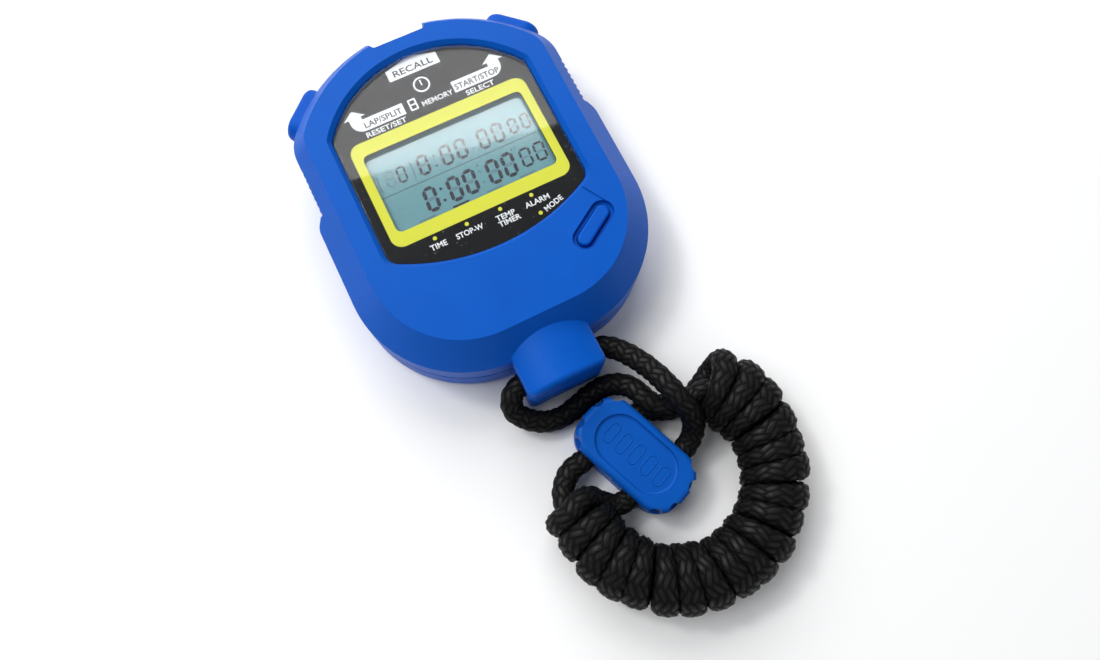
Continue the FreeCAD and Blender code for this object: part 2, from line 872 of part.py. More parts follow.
def cell_contact():
    """Sprung finger between the board and the cell's upper face."""
    bend = cell_x - finger_foot_width / 2
    foot_y = (cell_y - finger_foot_width / 2, cell_y + finger_foot_width / 2)
    finger_y = (cell_y - finger_width / 2, cell_y + finger_width / 2)
    foot = box(bend, bend + finger_foot_length, *foot_y, board_bottom_z - strip_thickness, board_bottom_z)
    finger = box(bend - finger_length, bend, *finger_y, cell_top_z, cell_top_z + strip_thickness)
    riser = box(bend - strip_thickness, bend, *finger_y, cell_top_z, board_bottom_z)
    return fuse([foot, finger, riser])


def piezo_disc():
    """Brass disc with its ceramic layer, glued to the floor of the rear shell."""
    y = window_y + piezo_above_window
    brass_top = wall + piezo_brass
    return fuse([cylinder(piezo_radius, piezo_x, y, wall, brass_top),
                 cylinder(piezo_radius * ceramic_share, piezo_x, y, brass_top, brass_top + piezo_ceramic)])


def piezo_contacts():
    """Two bent strips from the board down to the disc and its ceramic layer."""
    y = window_y + piezo_above_window
    brass_top = wall + piezo_brass
    end_x = piezo_x - piezo_strip_length
    solids = []
    for centre_y, low, high in (
            (y, brass_top + piezo_ceramic, board_bottom_z - piezo_strip_drop),
            (y - piezo_radius * rim_contact_share, brass_top, board_bottom_z)):
        strip_y = (centre_y - piezo_strip_width / 2, centre_y + piezo_strip_width / 2)
        solids.append(fuse([
            box(end_x, piezo_x, *strip_y, low, low + strip_thickness),
            box(end_x - strip_thickness, end_x, *strip_y, low, high),
        ]))
    return group(solids)


def leaf_contact(angle, stem_tip, width, travel):
    """Upright spring leaf on the board, just past the end of a button's stroke."""
    face = stem_tip - travel - contact_clearance
    blade = box(face - strip_thickness, face, -width / 2, width / 2, board_top_z, board_top_z + leaf_height)
    foot = box(face - leaf_foot, face, -width / 2, width / 2, board_top_z, board_top_z + strip_thickness)
    return at_button(fuse([blade, foot]), angle, 0)


def shoulder_contact(angle):
    tip = top_radius - flange_back - flange_thickness - stem_length
    return leaf_contact(angle, tip, leaf_width, button_travel)


def recall_contact():
    tip = recall_flange - flange_thickness - recall_stem_length
    return leaf_contact(90, tip, leaf_width, recall_travel)


def mode_contact():
    """Snap dome on the board below the mode button."""
    dome = cylinder(dome_radius, 0, 0, board_top_z, board_top_z + contact_height)
    rims = outer_edges_at(dome, lambda edge: edge.BoundBox.ZMin > board_top_z + contact_height - touch)
    return at_mode(dome.makeFillet(dome_round, rims))


# ---- Slider ----
def slider_place(shape):
    shape.rotate(V(0, 0, 0), Z, slider_angle)
    shape.translate(V(slider_x, slider_y, 0))
    return shape


def channel(spot, radius, reach):
    """Cylinder across the slider, in the slider's own frame (X along its length)."""
    tilt = math.radians(90 + channel_tilt)
    direction = V(math.cos(tilt), math.sin(tilt), 0)
    start = V(spot, 0, slider_height / 2) - direction * reach
    return Part.makeCylinder(radius, 2 * reach, start, direction)


def slider_body():
    plan = rounded_rectangle(slider_length, slider_width, slider_corner_radius)
    body = prism(plan, 0, slider_height)
    rims = outer_edges_at(body, lambda edge: edge.BoundBox.ZLength < touch)
    body = body.makeFillet(slider_round, rims)
    dish = prism(pill_face(dish_length, dish_width), slider_height - dish_depth,
                 slider_height + overrun)
    floor = outer_edges_at(dish, lambda edge: edge.BoundBox.ZMax < slider_height - dish_depth + touch)
    tools = [dish.makeFillet(dish_depth * dish_round_share, floor)]
    tools += [channel(spot, hole_radius, slider_width) for spot in channel_spots]
    for end in (-1, 1):
        for back, across in scallop_spots:
            x = end * (slider_length / 2 - back + scallop_radius - scallop_depth)
            tools.append(cylinder(scallop_radius, x, across, slider_height / 2, slider_height + overrun))
    side = slider_width / 2
    middle = slider_height / 2
    tools.append(box(side_slot_start, side_slot_end, -side - overrun, -side + side_slot_depth,
                     middle + side_slot_low, middle + side_slot_high))
    low = middle - slider_seam_half
    high = middle + slider_seam_half
    ring = prism(rounded_rectangle(slider_length + 2 * overrun, slider_width + 2 * overrun,
                                   slider_corner_radius + overrun), low, high)
    inside = prism(rounded_rectangle(slider_length - 2 * slider_seam_depth, slider_width - 2 * slider_seam_depth,
                                     slider_corner_radius - slider_seam_depth), low - overrun, high + overrun)
    tools.append(ring.cut(inside))
    for tool in tools:
        body = body.cut(tool)
    return body


def slider_half(low, high):
    half = slider_body().common(box(-far, far, -far, far, low, high))
    return slider_place(half)


# ---- Cord ----
def to_slider(spot, reach):
    """Place of a cord point on a channel's axis, reach measured across the slider."""
    tilt = math.radians(90 + channel_tilt)
    point = V(spot + reach * math.cos(tilt), reach * math.sin(tilt), slider_height / 2)
    turn = FreeCAD.Rotation(Z, slider_angle)
    return turn.multVec(point) + V(slider_x, slider_y, 0)


def coil_point(angle):
    turn = math.radians(angle)
    return V(coil_x + coil_arc_radius * math.cos(turn), coil_y + coil_arc_radius * math.sin(turn), coil_z)


channel_reach = slider_width / 2 + channel_overhang
upper_channel, lower_channel = channel_spots
right_strand_route = [
    V(bail_width / 2, bail_hole_y, seam_z),
    V(10.8, -38.0, 8.0),
    V(13.3, -40.6, 8.3),
    V(15.3, -44.2, 9.3),
    V(16.5, -48.0, 11.1),
    V(17.3, -51.6, 12.3),
    V(18.2, -55.2, 12.1),
    V(19.2, -58.4, 9.9),
    V(18.8, -61.1, 6.6),
    to_slider(lower_channel, channel_reach),
]

left_strand_route = [
    V(-bail_width / 2, bail_hole_y, seam_z),
    V(-11.3, -37.7, 7.7),
    V(-13.4, -40.0, 6.6),
    V(-13.6, -43.2, 5.2),
    V(-11.5, -45.8, 3.8),
    V(-8.0, -47.0, 2.8),
    V(-4.0, -46.9, 2.4),
    V(0.2, -45.6, 2.4),
    V(4.4, -44.6, 2.5),
    V(8.0, -44.9, 3.7),
    V(10.9, -46.8, 5.8),
    V(13.1, -49.7, 7.8),
    V(15.6, -52.2, 7.9),
    V(18.6, -53.9, 7.2),
    V(21.6, -54.8, 6.7),
    V(24.8, -55.7, 6.4),
]

coil_feed_route = [
    to_slider(upper_channel, channel_reach),
    V(14.1, -53.0, 3.4),
    V(17.1, -54.6, 2.4),
    V(20.3, -56.6, 2.4),
    V(23.6, -58.4, 2.8),
]

core_tail_route = [
    to_slider(upper_channel, -channel_reach),
    V(-6.9, -57.3, 4.4),
    V(-9.2, -58.8, 4.7),
    V(-10.4, -61.2, 5.4),
    V(-10.4, -63.6, 6.2),
    V(-10.0, -66.0, 6.7),
]

wrap_tail_route = [
    to_slider(lower_channel, -channel_reach),
    V(-2.8, -66.2, 4.9),
    V(-4.8, -64.1, 6.7),
    V(-6.4, -62.2, 8.7),
    V(-8.9, -61.3, 10.2),
]


def cord_tube(name, route):
    """Round tube along straight runs joined by tangent arcs, with its arc radii printed."""
    edges = []
    start = route[0]
    radii = []
    for before, corner, after in zip(route, route[1:], route[2:]):
        arriving = corner - before
        leaving = after - corner
        turn = arriving.getAngle(leaving)
        trim = cord_trim_share * min(arriving.Length, leaving.Length)
        radii.append(trim / math.tan(turn / 2))
        arriving.normalize()
        leaving.normalize()
        inward = leaving - arriving
        inward.normalize()
        centre = corner + inward * (radii[-1] / math.cos(turn / 2))
        enter = corner - arriving * trim
        leave = corner + leaving * trim
        edges.append(Part.makeLine(start, enter))
        edges.append(Part.Arc(enter, centre - inward * radii[-1], leave).toShape())
        start = leave
    edges.append(Part.makeLine(start, route[-1]))
    path = Part.Wire(edges)
    section = Part.Wire(Part.makeCircle(cord_radius, route[0], route[1] - route[0]))
    tube = path.makePipeShell([section], True, True)
    expected = path.Length * math.pi * cord_radius ** 2
    smallest = min(radii)
    print(f"{name}: length {path.Length:.1f} mm, smallest arc {smallest:.1f} mm, "
          f"radii {[round(radius, 1) for radius in radii]}, volume / (section x length) "
          f"{tube.Volume / expected:.4f}")
    return tube


def cord_in_bail():
    return Part.makeCylinder(cord_radius, bail_width, V(-bail_width / 2, bail_hole_y, seam_z), X)


def cord_in_channel(spot):
    start = to_slider(spot, -channel_reach)
    end = to_slider(spot, channel_reach)
    return Part.makeCylinder(cord_radius, (end - start).Length, start, end - start)


def cord_coil():
    """Outer shape of the wound cord: a round C with a domed upper end."""
    section = Part.Face(Part.Wire(Part.makeCircle(coil_tube_radius, coil_point(coil_end_angle),
                                                  V(-math.sin(math.radians(coil_end_angle)),
                                                    math.cos(math.radians(coil_end_angle)), 0))))
    ring = section.revolve(V(coil_x, coil_y, 0), Z, coil_start_angle - coil_end_angle)
    end_cap = Part.makeSphere(coil_tube_radius - coil_cap_gap, coil_point(coil_start_angle))
    return ring.fuse(end_cap)


PARTS = {
    "front_shell": front_shell,
    "rear_shell": rear_shell,
    "case_gasket": lambda: gasket_ring(0.0),
    "window_lens": window_lens,
    "printed_mask": printed_mask,
    "lcd_front_glass": lcd_front_glass,
    "lcd_rear_glass": lcd_rear_glass,
    "lcd_reflector": lcd_reflector,
    "lcd_holder": lcd_holder,
    "zebra_strip_upper": lambda: zebra_strip(1),
    "zebra_strip_lower": lambda: zebra_strip(-1),
    "circuit_board": circuit_board,
    "chip_blob": chip_blob,
    "crystal": crystal,
    "board_parts": board_parts,
    "coin_cell": coin_cell,
    "cell_clip": cell_clip,
    "cell_contact": cell_contact,
    "piezo_disc": piezo_disc,
    "piezo_contacts": piezo_contacts,
    "case_screws": lambda: screws(screw_spots(), case_head_radius, case_head_height, case_screw_radius,
                                  case_head_seat_z, case_screw_tip_z),
    "board_screws": lambda: screws(board_spots(), board_head_radius, board_head_height, board_screw_radius,
                                   board_bottom_z, board_bottom_z + board_screw_length),
    "start_button": lambda: shoulder_button(button_angle),
    "lap_button": lambda: shoulder_button(180 - button_angle),
    "recall_button": recall_button,
    "mode_button": mode_button,
    "start_contact": lambda: shoulder_contact(button_angle),
    "lap_contact": lambda: shoulder_contact(180 - button_angle),
    "recall_contact": recall_contact,
    "mode_contact": mode_contact,
    "slider_lower": lambda: slider_half(0, slider_height / 2),
    "slider_upper": lambda: slider_half(slider_height / 2, slider_height),
    "cord_in_bail": cord_in_bail,
    "cord_right_strand": lambda: cord_tube("cord_right_strand", right_strand_route),
    "cord_left_strand": lambda: cord_tube("cord_left_strand", left_strand_route),
    "cord_in_upper_channel": lambda: cord_in_channel(upper_channel),
    "cord_in_lower_channel": lambda: cord_in_channel(lower_channel),
    "cord_coil_feed": lambda: cord_tube("cord_coil_feed", coil_feed_route),
    "cord_core_tail": lambda: cord_tube("cord_core_tail", core_tail_route),
    "cord_wrap_tail": lambda: cord_tube("cord_wrap_tail", wrap_tail_route),
    "cord_coil": cord_coil,
}


def main():
    os.makedirs("parts", exist_ok=True)
    for name, build in PARTS.items():
        shape = build()
        box_of = shape.BoundBox
        print(f"{name}: solids {len(shape.Solids)}, valid {shape.isValid()}, volume {shape.Volume:.1f} mm3, "
              f"size {box_of.XLength:.1f} x {box_of.YLength:.1f} x {box_of.ZLength:.1f}")
        shape.exportStep(f"parts/{name}.step")


main()
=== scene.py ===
"""Looks of a digital stopwatch: finishes for its mouldings, the printed window, the display, the
braided neck cord with its windings, and a plain studio. Lengths are in metres."""

import math

import bmesh
import bpy
import numpy as np
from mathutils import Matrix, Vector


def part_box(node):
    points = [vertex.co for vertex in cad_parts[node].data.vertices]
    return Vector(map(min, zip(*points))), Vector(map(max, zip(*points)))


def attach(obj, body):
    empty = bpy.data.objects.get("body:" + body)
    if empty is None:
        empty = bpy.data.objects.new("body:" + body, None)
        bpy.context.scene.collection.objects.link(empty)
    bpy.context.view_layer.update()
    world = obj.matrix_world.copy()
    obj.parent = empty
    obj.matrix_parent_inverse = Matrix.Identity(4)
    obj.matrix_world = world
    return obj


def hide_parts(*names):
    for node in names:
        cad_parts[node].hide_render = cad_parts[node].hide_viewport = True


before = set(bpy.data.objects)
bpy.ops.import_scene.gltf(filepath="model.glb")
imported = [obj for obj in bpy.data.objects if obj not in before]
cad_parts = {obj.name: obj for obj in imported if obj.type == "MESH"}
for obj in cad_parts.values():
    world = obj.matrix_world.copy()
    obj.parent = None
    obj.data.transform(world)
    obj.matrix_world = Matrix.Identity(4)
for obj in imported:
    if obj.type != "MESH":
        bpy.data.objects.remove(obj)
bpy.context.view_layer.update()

bl_info = {
    "name": "Digital stopwatch",
    "version": (1, 0, 0),
    "blender": (4, 5, 0),
    "location": "View3D > Sidebar > Stopwatch",
    "description": "Finishes, printing, display, neck cord and studio for a digital stopwatch",
    "category": "Object",
}

MM = 0.001
CASE = "case"
CORD_NODES = ("cord_in_bail", "cord_right_strand", "cord_left_strand", "cord_in_upper_channel",
              "cord_in_lower_channel", "cord_coil_feed", "cord_core_tail", "cord_wrap_tail", "cord_coil")


# ---- Settings ----
def length(name, description, default):
    return bpy.props.FloatProperty(name=name, description=description, default=default, unit="LENGTH",
                                   precision=5)


def colour(name, description, default):
    return bpy.props.FloatVectorProperty(name=name, description=description, default=default, size=3,
                                         subtype="COLOR", min=0.0, max=1.0)


def ratio(name, description, default):
    return bpy.props.FloatProperty(name=name, description=description, default=default)


class StopwatchColours(bpy.types.PropertyGroup):
    case_blue: colour("Case blue", "Moulded plastic of the two shells", (0.0, 0.090, 0.50))
    button_blue: colour("Button blue", "Smooth plastic of the push buttons", (0.0, 0.085, 0.50))
    slider_blue: colour("Slider blue", "Satin plastic of the cord slider", (0.002, 0.085, 0.43))
    print_black: colour("Print black", "Ground of the printing behind the window", (0.004, 0.0045, 0.006))
    print_white: colour("Print white", "Labels behind the window", (0.86, 0.89, 0.92))
    print_yellow: colour("Print yellow", "Band round the display", (0.70, 0.72, 0.065))
    display_ground: colour("Display ground", "Grey-green of the display", (0.17, 0.40, 0.45))
    figure_dark: colour("Figure dark", "Switched-on figures", (0.006, 0.009, 0.028))
    figure_faint: colour("Figure faint", "Switched-off figures", (0.125, 0.27, 0.33))
    cord_black: colour("Cord black", "Braided yarn of the neck cord", (0.0062, 0.0062, 0.0058))


class StopwatchPrint(bpy.types.PropertyGroup):
    shift_x: length("Shift across", "Printing from the middle of the display", 0.1 * MM)
    shift_y: length("Shift along", "Printing from the middle of the display", 0.45 * MM)
    ink: length("Ink thickness", "Height of one printed layer", 0.015 * MM)
    band_width: length("Band length", "Outer size of the band round the display, across", 39.1 * MM)
    band_height: length("Band height", "Outer size of the band round the display, along", 24.2 * MM)
    band_corner: length("Band corner", "Outer corner radius of the band", 2.4 * MM)
    view_width: length("View width", "Opening of the band, across", 35.3 * MM)
    view_height: length("View height", "Opening of the band, along", 18.1 * MM)
    view_corner: length("View corner", "Corner radius of the band's opening", 1.3 * MM)
    dot: length("Dot", "Radius of the round marks", 0.42 * MM)


class StopwatchCord(bpy.types.PropertyGroup):
    diameter: length("Diameter", "Diameter of the braided cord", 4.5 * MM)
    whole: length("Length", "Length of the cord from the loop's one end to the other", 0.79)
    turns: ratio("Turns", "Turns wound round the folded end", 18.64)
    wound_radius: length("Wound radius", "Radius of one turn round the core", 4.6 * MM)
    arc_radius: length("Arc radius", "Radius of the arc that the core lies along", 20.4 * MM)
    arc_start: ratio("Arc start", "Angle of the windings' lower left end, in degrees", -187.0)
    arc_end: ratio("Arc end", "Angle of the windings' upper end, in degrees", 43.0)
    strands: bpy.props.IntProperty(name="Strands", description="Strands of the braid in each direction",
                                   default=10, min=3)
    lay: length("Lay", "Length along the cord in which a strand moves one strand over", 1.9 * MM)
    relief: ratio("Relief", "Depth of the braid as a share of the cord's radius", 0.20)


class StopwatchStudio(bpy.types.PropertyGroup):
    camera: bpy.props.FloatVectorProperty(name="Camera", description="Place of the camera", unit="LENGTH",
                                          default=(-0.0193, -0.0633, 0.1628), size=3, precision=4)
    tilt: ratio("Tilt", "Camera turn about X, in degrees", 14.27)
    lean: ratio("Lean", "Camera turn about Y, in degrees", -1.48)
    turn: ratio("Turn", "Camera turn about Z, in degrees", -26.56)
    lens: ratio("Lens", "Focal length in millimetres", 25.53)
    floor: colour("Floor", "Pale floor", (1.0, 1.0, 1.0))
    room: ratio("Room light", "Strength of the even light of the room", 0.24)


# ---- Finishes ----
class Value:
    """One socket of a finish. A sum written on it adds the Math nodes that work it out."""

    def __init__(self, finish, socket):
        self.finish = finish
        self.socket = socket

    def worked(self, operation, first, second):
        return self.finish.add("ShaderNodeMath", {"operation": operation}, {0: first, 1: second})

    def __add__(self, other):
        return self.worked("ADD", self, other)

    def __radd__(self, other):
        return self.worked("ADD", other, self)

    def __sub__(self, other):
        return self.worked("SUBTRACT", self, other)

    def __rsub__(self, other):
        return self.worked("SUBTRACT", other, self)

    def __mul__(self, other):
        return self.worked("MULTIPLY", self, other)

    def __rmul__(self, other):
        return self.worked("MULTIPLY", other, self)

    def __truediv__(self, other):
        return self.worked("DIVIDE", self, other)

    def __rtruediv__(self, other):
        return self.worked("DIVIDE", other, self)

    def __pow__(self, other):
        return self.worked("POWER", self, other)


class Finish:
    """A material under construction, with its object coordinates at hand."""

    def __init__(self, name):
        self.material = bpy.data.materials.new(name)
        self.material.use_nodes = True
        self.tree = self.material.node_tree
        self.tree.nodes.clear()
        self.place = self.add("ShaderNodeTexCoord", output="Object")

    def add(self, kind, settings=None, inputs=None, output=0):
        """Adds a node: its settings first, then its sockets' values or links."""
        node = self.tree.nodes.new(kind)
        for setting, choice in (settings or {}).items():
            setattr(node, setting, choice)
        for socket, given in (inputs or {}).items():
            if isinstance(given, Value):
                self.tree.links.new(given.socket, node.inputs[socket])
            else:
                node.inputs[socket].default_value = given
        return Value(self, node.outputs[output])

    def noise(self, size, detail=2.0, roughness=0.5, place=None):
        """Cloudy values from 0 to 1 whose patches measure about the given size."""
        return self.add("ShaderNodeTexNoise", {}, {"Vector": place or self.place, "Scale": 1 / size,
                                                   "Detail": detail, "Roughness": roughness})

    def ramp(self, value, low, high):
        """Runs from 0 at low to 1 at high, level outside."""
        return self.add("ShaderNodeMapRange", {"interpolation_type": "SMOOTHSTEP"},
                        {"Value": value, "From Min": low, "From Max": high})

    def mixed(self, share, first, second):
        return self.add("ShaderNodeMix", {"data_type": "RGBA"}, {0: share, 6: first, 7: second}, output=2)

    def bumped(self, height, depth):
        return self.add("ShaderNodeBump", {}, {"Height": height, "Distance": depth, "Strength": 1.0})

    def surface(self, inputs):
        """Closes the finish with one Principled shader."""
        shader = self.add("ShaderNodeBsdfPrincipled", {}, inputs)
        end = self.tree.nodes.new("ShaderNodeOutputMaterial")
        self.tree.links.new(shader.socket, end.inputs["Surface"])
        return self.material


def shade(base, factor):
    """Colour with an alpha, lighter or darker than base."""
    return tuple(min(1.0, channel * factor) for channel in base) + (1.0,)


def moulded(name, base, roughness, depth=0.012 * MM, wear=0.25):
    """Moulded plastic: slight cloudiness, a fine leathery grain, and thin scuffs that shine or dull it."""
    finish = Finish(name)
    cloud = finish.noise(9 * MM, 3.0)
    tint = finish.mixed(cloud, shade(base, 0.90), shade(base, 1.10))
    stretched = finish.add("ShaderNodeMapping", {}, {"Vector": finish.place, "Scale": (1.0, 0.12, 1.0),
                                                     "Rotation": (0.0, 0.0, 0.6)})
    scuffs = finish.ramp(finish.noise(0.9 * MM, 4.0, 0.65, stretched), 0.66, 0.74) * wear
    speck = finish.ramp(finish.noise(0.55 * MM, 1.0), 0.78, 0.80) * wear
    worn = finish.mixed(scuffs * 0.35 + speck * 0.5, tint, shade(base, 1.7))
    grains = finish.noise(0.35 * MM, 2.0, 0.55)
    return finish.surface({
        "Base Color": worn,
        "Roughness": roughness + (cloud - 0.5) * 0.10 + (grains - 0.5) * 0.12 - scuffs * 0.15,
        "Normal": finish.bumped(grains, depth),
        "IOR": 1.5,
        "Specular IOR Level": 0.24,
        "Specular Tint": (0.4, 0.62, 1.0, 1.0),
    })


def plated(name, base, roughness=0.22):
    """Plated sheet metal with faint drawing lines."""
    finish = Finish(name)
    drawn = finish.add("ShaderNodeMapping", {}, {"Vector": finish.place, "Scale": (0.05, 1.0, 1.0)})
    lines = finish.noise(0.12 * MM, 3.0, 0.6, drawn)
    cloud = finish.noise(3 * MM)
    return finish.surface({
        "Base Color": finish.mixed(cloud, shade(base, 0.85), shade(base, 1.08)),
        "Metallic": 1.0,
        "Roughness": roughness + (lines - 0.5) * 0.2,
        "Normal": finish.bumped(lines, 0.004 * MM),
    })


def laminate(name, base):
    """Circuit board: solder mask over a glass weave, with tracks that lighten it."""
    finish = Finish(name)
    tracks = finish.add("ShaderNodeTexBrick", {"offset": 0.5}, {
        "Vector": finish.place, "Scale": 260.0, "Mortar Size": 0.03, "Mortar Smooth": 0.4,
        "Color1": (0, 0, 0, 1), "Color2": (0, 0, 0, 1), "Mortar": (1, 1, 1, 1)}, output=1)
    weave = finish.noise(0.5 * MM)
    return finish.surface({
        "Base Color": finish.mixed(tracks, shade(base, 0.8), shade(base, 1.9)),
        "Roughness": 0.3 + weave * 0.15,
        "Normal": finish.bumped(tracks + weave * 0.3, 0.03 * MM),
    })


def speckled(name, base, roughness, patch, contrast=0.25, depth=0.01 * MM):
    """Plain matt or glossy material with uneven tone and surface."""
    finish = Finish(name)
    cloud = finish.noise(patch, 4.0, 0.6)
    return finish.surface({
        "Base Color": finish.mixed(cloud, shade(base, 1 - contrast), shade(base, 1 + contrast)),
        "Roughness": roughness + (cloud - 0.5) * 0.2,
        "Normal": finish.bumped(cloud, depth),
        "Specular IOR Level": 0.3,
    })


def clear_sheet(name, clearness, roughness, tint):
    """Clear acrylic: the room shows in it as Fresnel's law says, half at each face, and dust lies on it."""
    finish = Finish(name)
    head_on = ((clearness - 1) / (clearness + 1)) ** 2
    facing = finish.add("ShaderNodeLayerWeight", {}, {"Blend": 0.5}, output="Facing")
    gloss = (head_on + (1 - head_on) * facing ** 5) / 2
    dust = finish.ramp(finish.noise(0.42 * MM, 2.0, 0.7), 0.735, 0.75)
    smear = finish.noise(6 * MM, 3.0)
    return finish.surface({
        "Base Color": tint,
        "Metallic": 1.0 - dust,
        "Roughness": roughness + smear * 0.03 + dust * 0.6,
        "Alpha": gloss + dust * 0.55,
    })


def printed(name, base, roughness=0.3):
    """Screen-printed ink: nearly even, with a faint mesh."""
    finish = Finish(name)
    mesh = finish.noise(0.22 * MM, 1.0)
    cloud = finish.noise(5 * MM)
    return finish.surface({
        "Base Color": finish.mixed(mesh * 0.5 + cloud * 0.5, shade(base, 0.93), shade(base, 1.05)),
        "Roughness": roughness + (mesh - 0.5) * 0.1,
        "Specular IOR Level": 0.1,
    })


RIDGE_POWER = 0.8
SWELL_POWER = 0.7
SWELL_LEAST = 0.3


def braid_relief(finish):
    """Height and crosswise place on the strands of a two-over, two-under braid, worked out as
    braid_height does, from the cord's own coordinates: strands passed round it and along it."""
    own = finish.add("ShaderNodeUVMap", {"uv_map": "braid"}, output="UV")
    turned = finish.add("ShaderNodeSeparateXYZ", {}, {0: own}, output="X")
    passed = finish.add("ShaderNodeSeparateXYZ", {}, {0: own}, output="Y")
    one, two = turned + passed, turned - passed
    one_part, two_part = one.worked("FRACT", one, 0.0), two.worked("FRACT", two, 0.0)
    quarter = (one - one_part - two + two_part + 0.5) * 0.25
    phase = quarter.worked("FRACT", quarter, 0.0) * 4.0 - 0.5
    one_over = phase.worked("LESS_THAN", phase, 1.5)
    across = two_part + one_over * (one_part - two_part)
    along_one = 1.0 - phase + two_part
    along_two = phase - 2.0 + one_part
    along = (along_two + one_over * (along_one - along_two)) * (math.pi / 2)
    edge = across * math.pi
    ridge = edge.worked("SINE", edge, 0.0) ** RIDGE_POWER
    swell = along.worked("SINE", along, 0.0) ** SWELL_POWER * (1 - SWELL_LEAST) + SWELL_LEAST
    return ridge * swell, across


def yarn(name, base):
    """Braided filament yarn: satin strand backs lightened by a painted highlight, gaps between strands
    darkened by painted shade, fibres along the strands, fluff.
    """
    finish = Finish(name)
    over, across = braid_relief(finish)
    fluff = finish.noise(0.16 * MM, 3.0, 0.7)
    streak = finish.noise(1.5 * MM, 2.0)
    fibre = finish.add("ShaderNodeTexNoise", {"noise_dimensions": "2D"}, {
        "Vector": finish.add("ShaderNodeCombineXYZ", {}, {0: across * 6.0, 1: streak * 3.0}),
        "Scale": 2.0, "Detail": 2.0})
    # Ramp of the strand height: in the base colour it paints shade into the gaps and a highlight onto the
    # strand backs; in the roughness it makes the backs smoother.
    strand_top_painted_light = finish.ramp(over, 0.35, 1.0)
    return finish.surface({
        # Painted shade in the gaps (0.08 of the yarn colour), painted highlight on the strand backs (up to
        # 1.5 of it), varied along the fibres.
        "Base Color": finish.mixed(strand_top_painted_light * (0.4 + fibre * 1.2), shade(base, 0.08), shade(base, 1.5)),
        "Roughness": 0.70 - strand_top_painted_light * 0.34 + (fluff - 0.5) * 0.2,
        "Normal": finish.bumped(over * 0.85 + fibre * 0.12 + fluff * 0.05, 0.35 * MM),
        "Specular IOR Level": 0.20,
    })


def display_ground(name, base):
    """Face of the display: grey-green, slightly cloudy, with a satin polariser over it."""
    finish = Finish(name)
    cloud = finish.noise(14 * MM, 2.0)
    fine = finish.noise(0.12 * MM, 1.0)
    return finish.surface({
        "Base Color": finish.mixed(cloud * 0.7 + fine * 0.3, shade(base, 0.90), shade(base, 1.12)),
        "Roughness": 0.33 + fine * 0.06,
        "Normal": finish.bumped(fine, 0.002 * MM),
        "Specular IOR Level": 0.1,
    })


def polariser(name):
    """Satin film over the figures, which catches bright light as a soft white haze."""
    finish = Finish(name)
    cloud = finish.noise(5 * MM)
    return finish.surface({
        "Base Color": (0.93, 0.97, 0.98, 1.0),
        "Metallic": 1.0,
        "Roughness": 0.10 + cloud * 0.02,
        "Alpha": 0.055 + cloud * 0.02,
    })


def paint(node, material):
    """Gives a CAD node one finish."""
    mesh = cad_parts[node].data
    mesh.materials.clear()
    mesh.materials.append(material)


# ---- Shapes ----
def grid_faces(rows, columns, closed_rows=False, closed_columns=False):
    """Quads of a grid of points numbered row by row, joined up round the closed directions."""
    row = np.arange(rows if closed_rows else rows - 1)[:, None]
    column = np.arange(columns if closed_columns else columns - 1)[None, :]
    next_row = (row + 1) % rows
    next_column = (column + 1) % columns
    corners = [row * columns + column, row * columns + next_column,
               next_row * columns + next_column, next_row * columns + column]
    return np.stack(corners, axis=-1).reshape(-1, 4)


def rounded_outline(width, height, radius, steps=10):
    """Points round a rectangle whose corners are quarter circles: each corner's centre plus radius times
    the cosine and sine of a quarter turn."""
    quarter = np.linspace(0, math.pi / 2, steps)
    angle = (quarter[None, :] + np.arange(4)[:, None] * math.pi / 2).ravel()
    corner_x = np.repeat([1, -1, -1, 1], steps) * (width / 2 - radius)
    corner_y = np.repeat([1, 1, -1, -1], steps) * (height / 2 - radius)
    return np.c_[corner_x + radius * np.cos(angle), corner_y + radius * np.sin(angle)]


def slab(outline, low, high):
    """A flat outline carried from one height to another, closed by the same outline at both."""
    count = len(outline)
    ring = np.arange(count)
    after = np.roll(ring, -1)
    points = np.vstack([np.c_[outline, np.full(count, low)], np.c_[outline, np.full(count, high)]])
    walls = np.c_[ring, after, after + count, ring + count]
    return points, [ring[::-1].tolist(), (ring + count).tolist(), *walls.tolist()]


def band(outer, inner, low, high):
    """A ring of rectangular section between two outlines with as many points: section corners along one
    parameter, the outlines along the other."""
    count = len(outer)
    rows = [(inner, low), (inner, high), (outer, high), (outer, low)]
    points = np.vstack([np.c_[outline, np.full(count, height)] for outline, height in rows])
    return points, grid_faces(4, count, True, True).tolist()


def joined(shapes):
    """Several shapes as one list of points and one of faces."""
    points = []
    faces = []
    start = 0
    for shape_points, shape_faces in shapes:
        points.append(shape_points)
        faces += [[corner + start for corner in face] for face in shape_faces]
        start += len(shape_points)
    return np.vstack(points), faces


def piece(name, shape, material, smooth=False, merge=0.0, body=CASE):
    """A closed mesh with its faces outwards, in its place, riding on a body."""
    points, faces = shape
    mesh = bpy.data.meshes.new(name)
    mesh.from_pydata(points.tolist(), [], faces)
    work = bmesh.new()
    work.from_mesh(mesh)
    if merge:
        bmesh.ops.remove_doubles(work, verts=work.verts, dist=merge)
    bmesh.ops.recalc_face_normals(work, faces=work.faces)
    work.to_mesh(mesh)
    work.free()
    mesh.polygons.foreach_set("use_smooth", np.full(len(mesh.polygons), smooth))
    mesh.materials.append(material)
    made = bpy.data.objects.new(name, mesh)
    bpy.context.scene.collection.objects.link(made)
    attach(made, body)


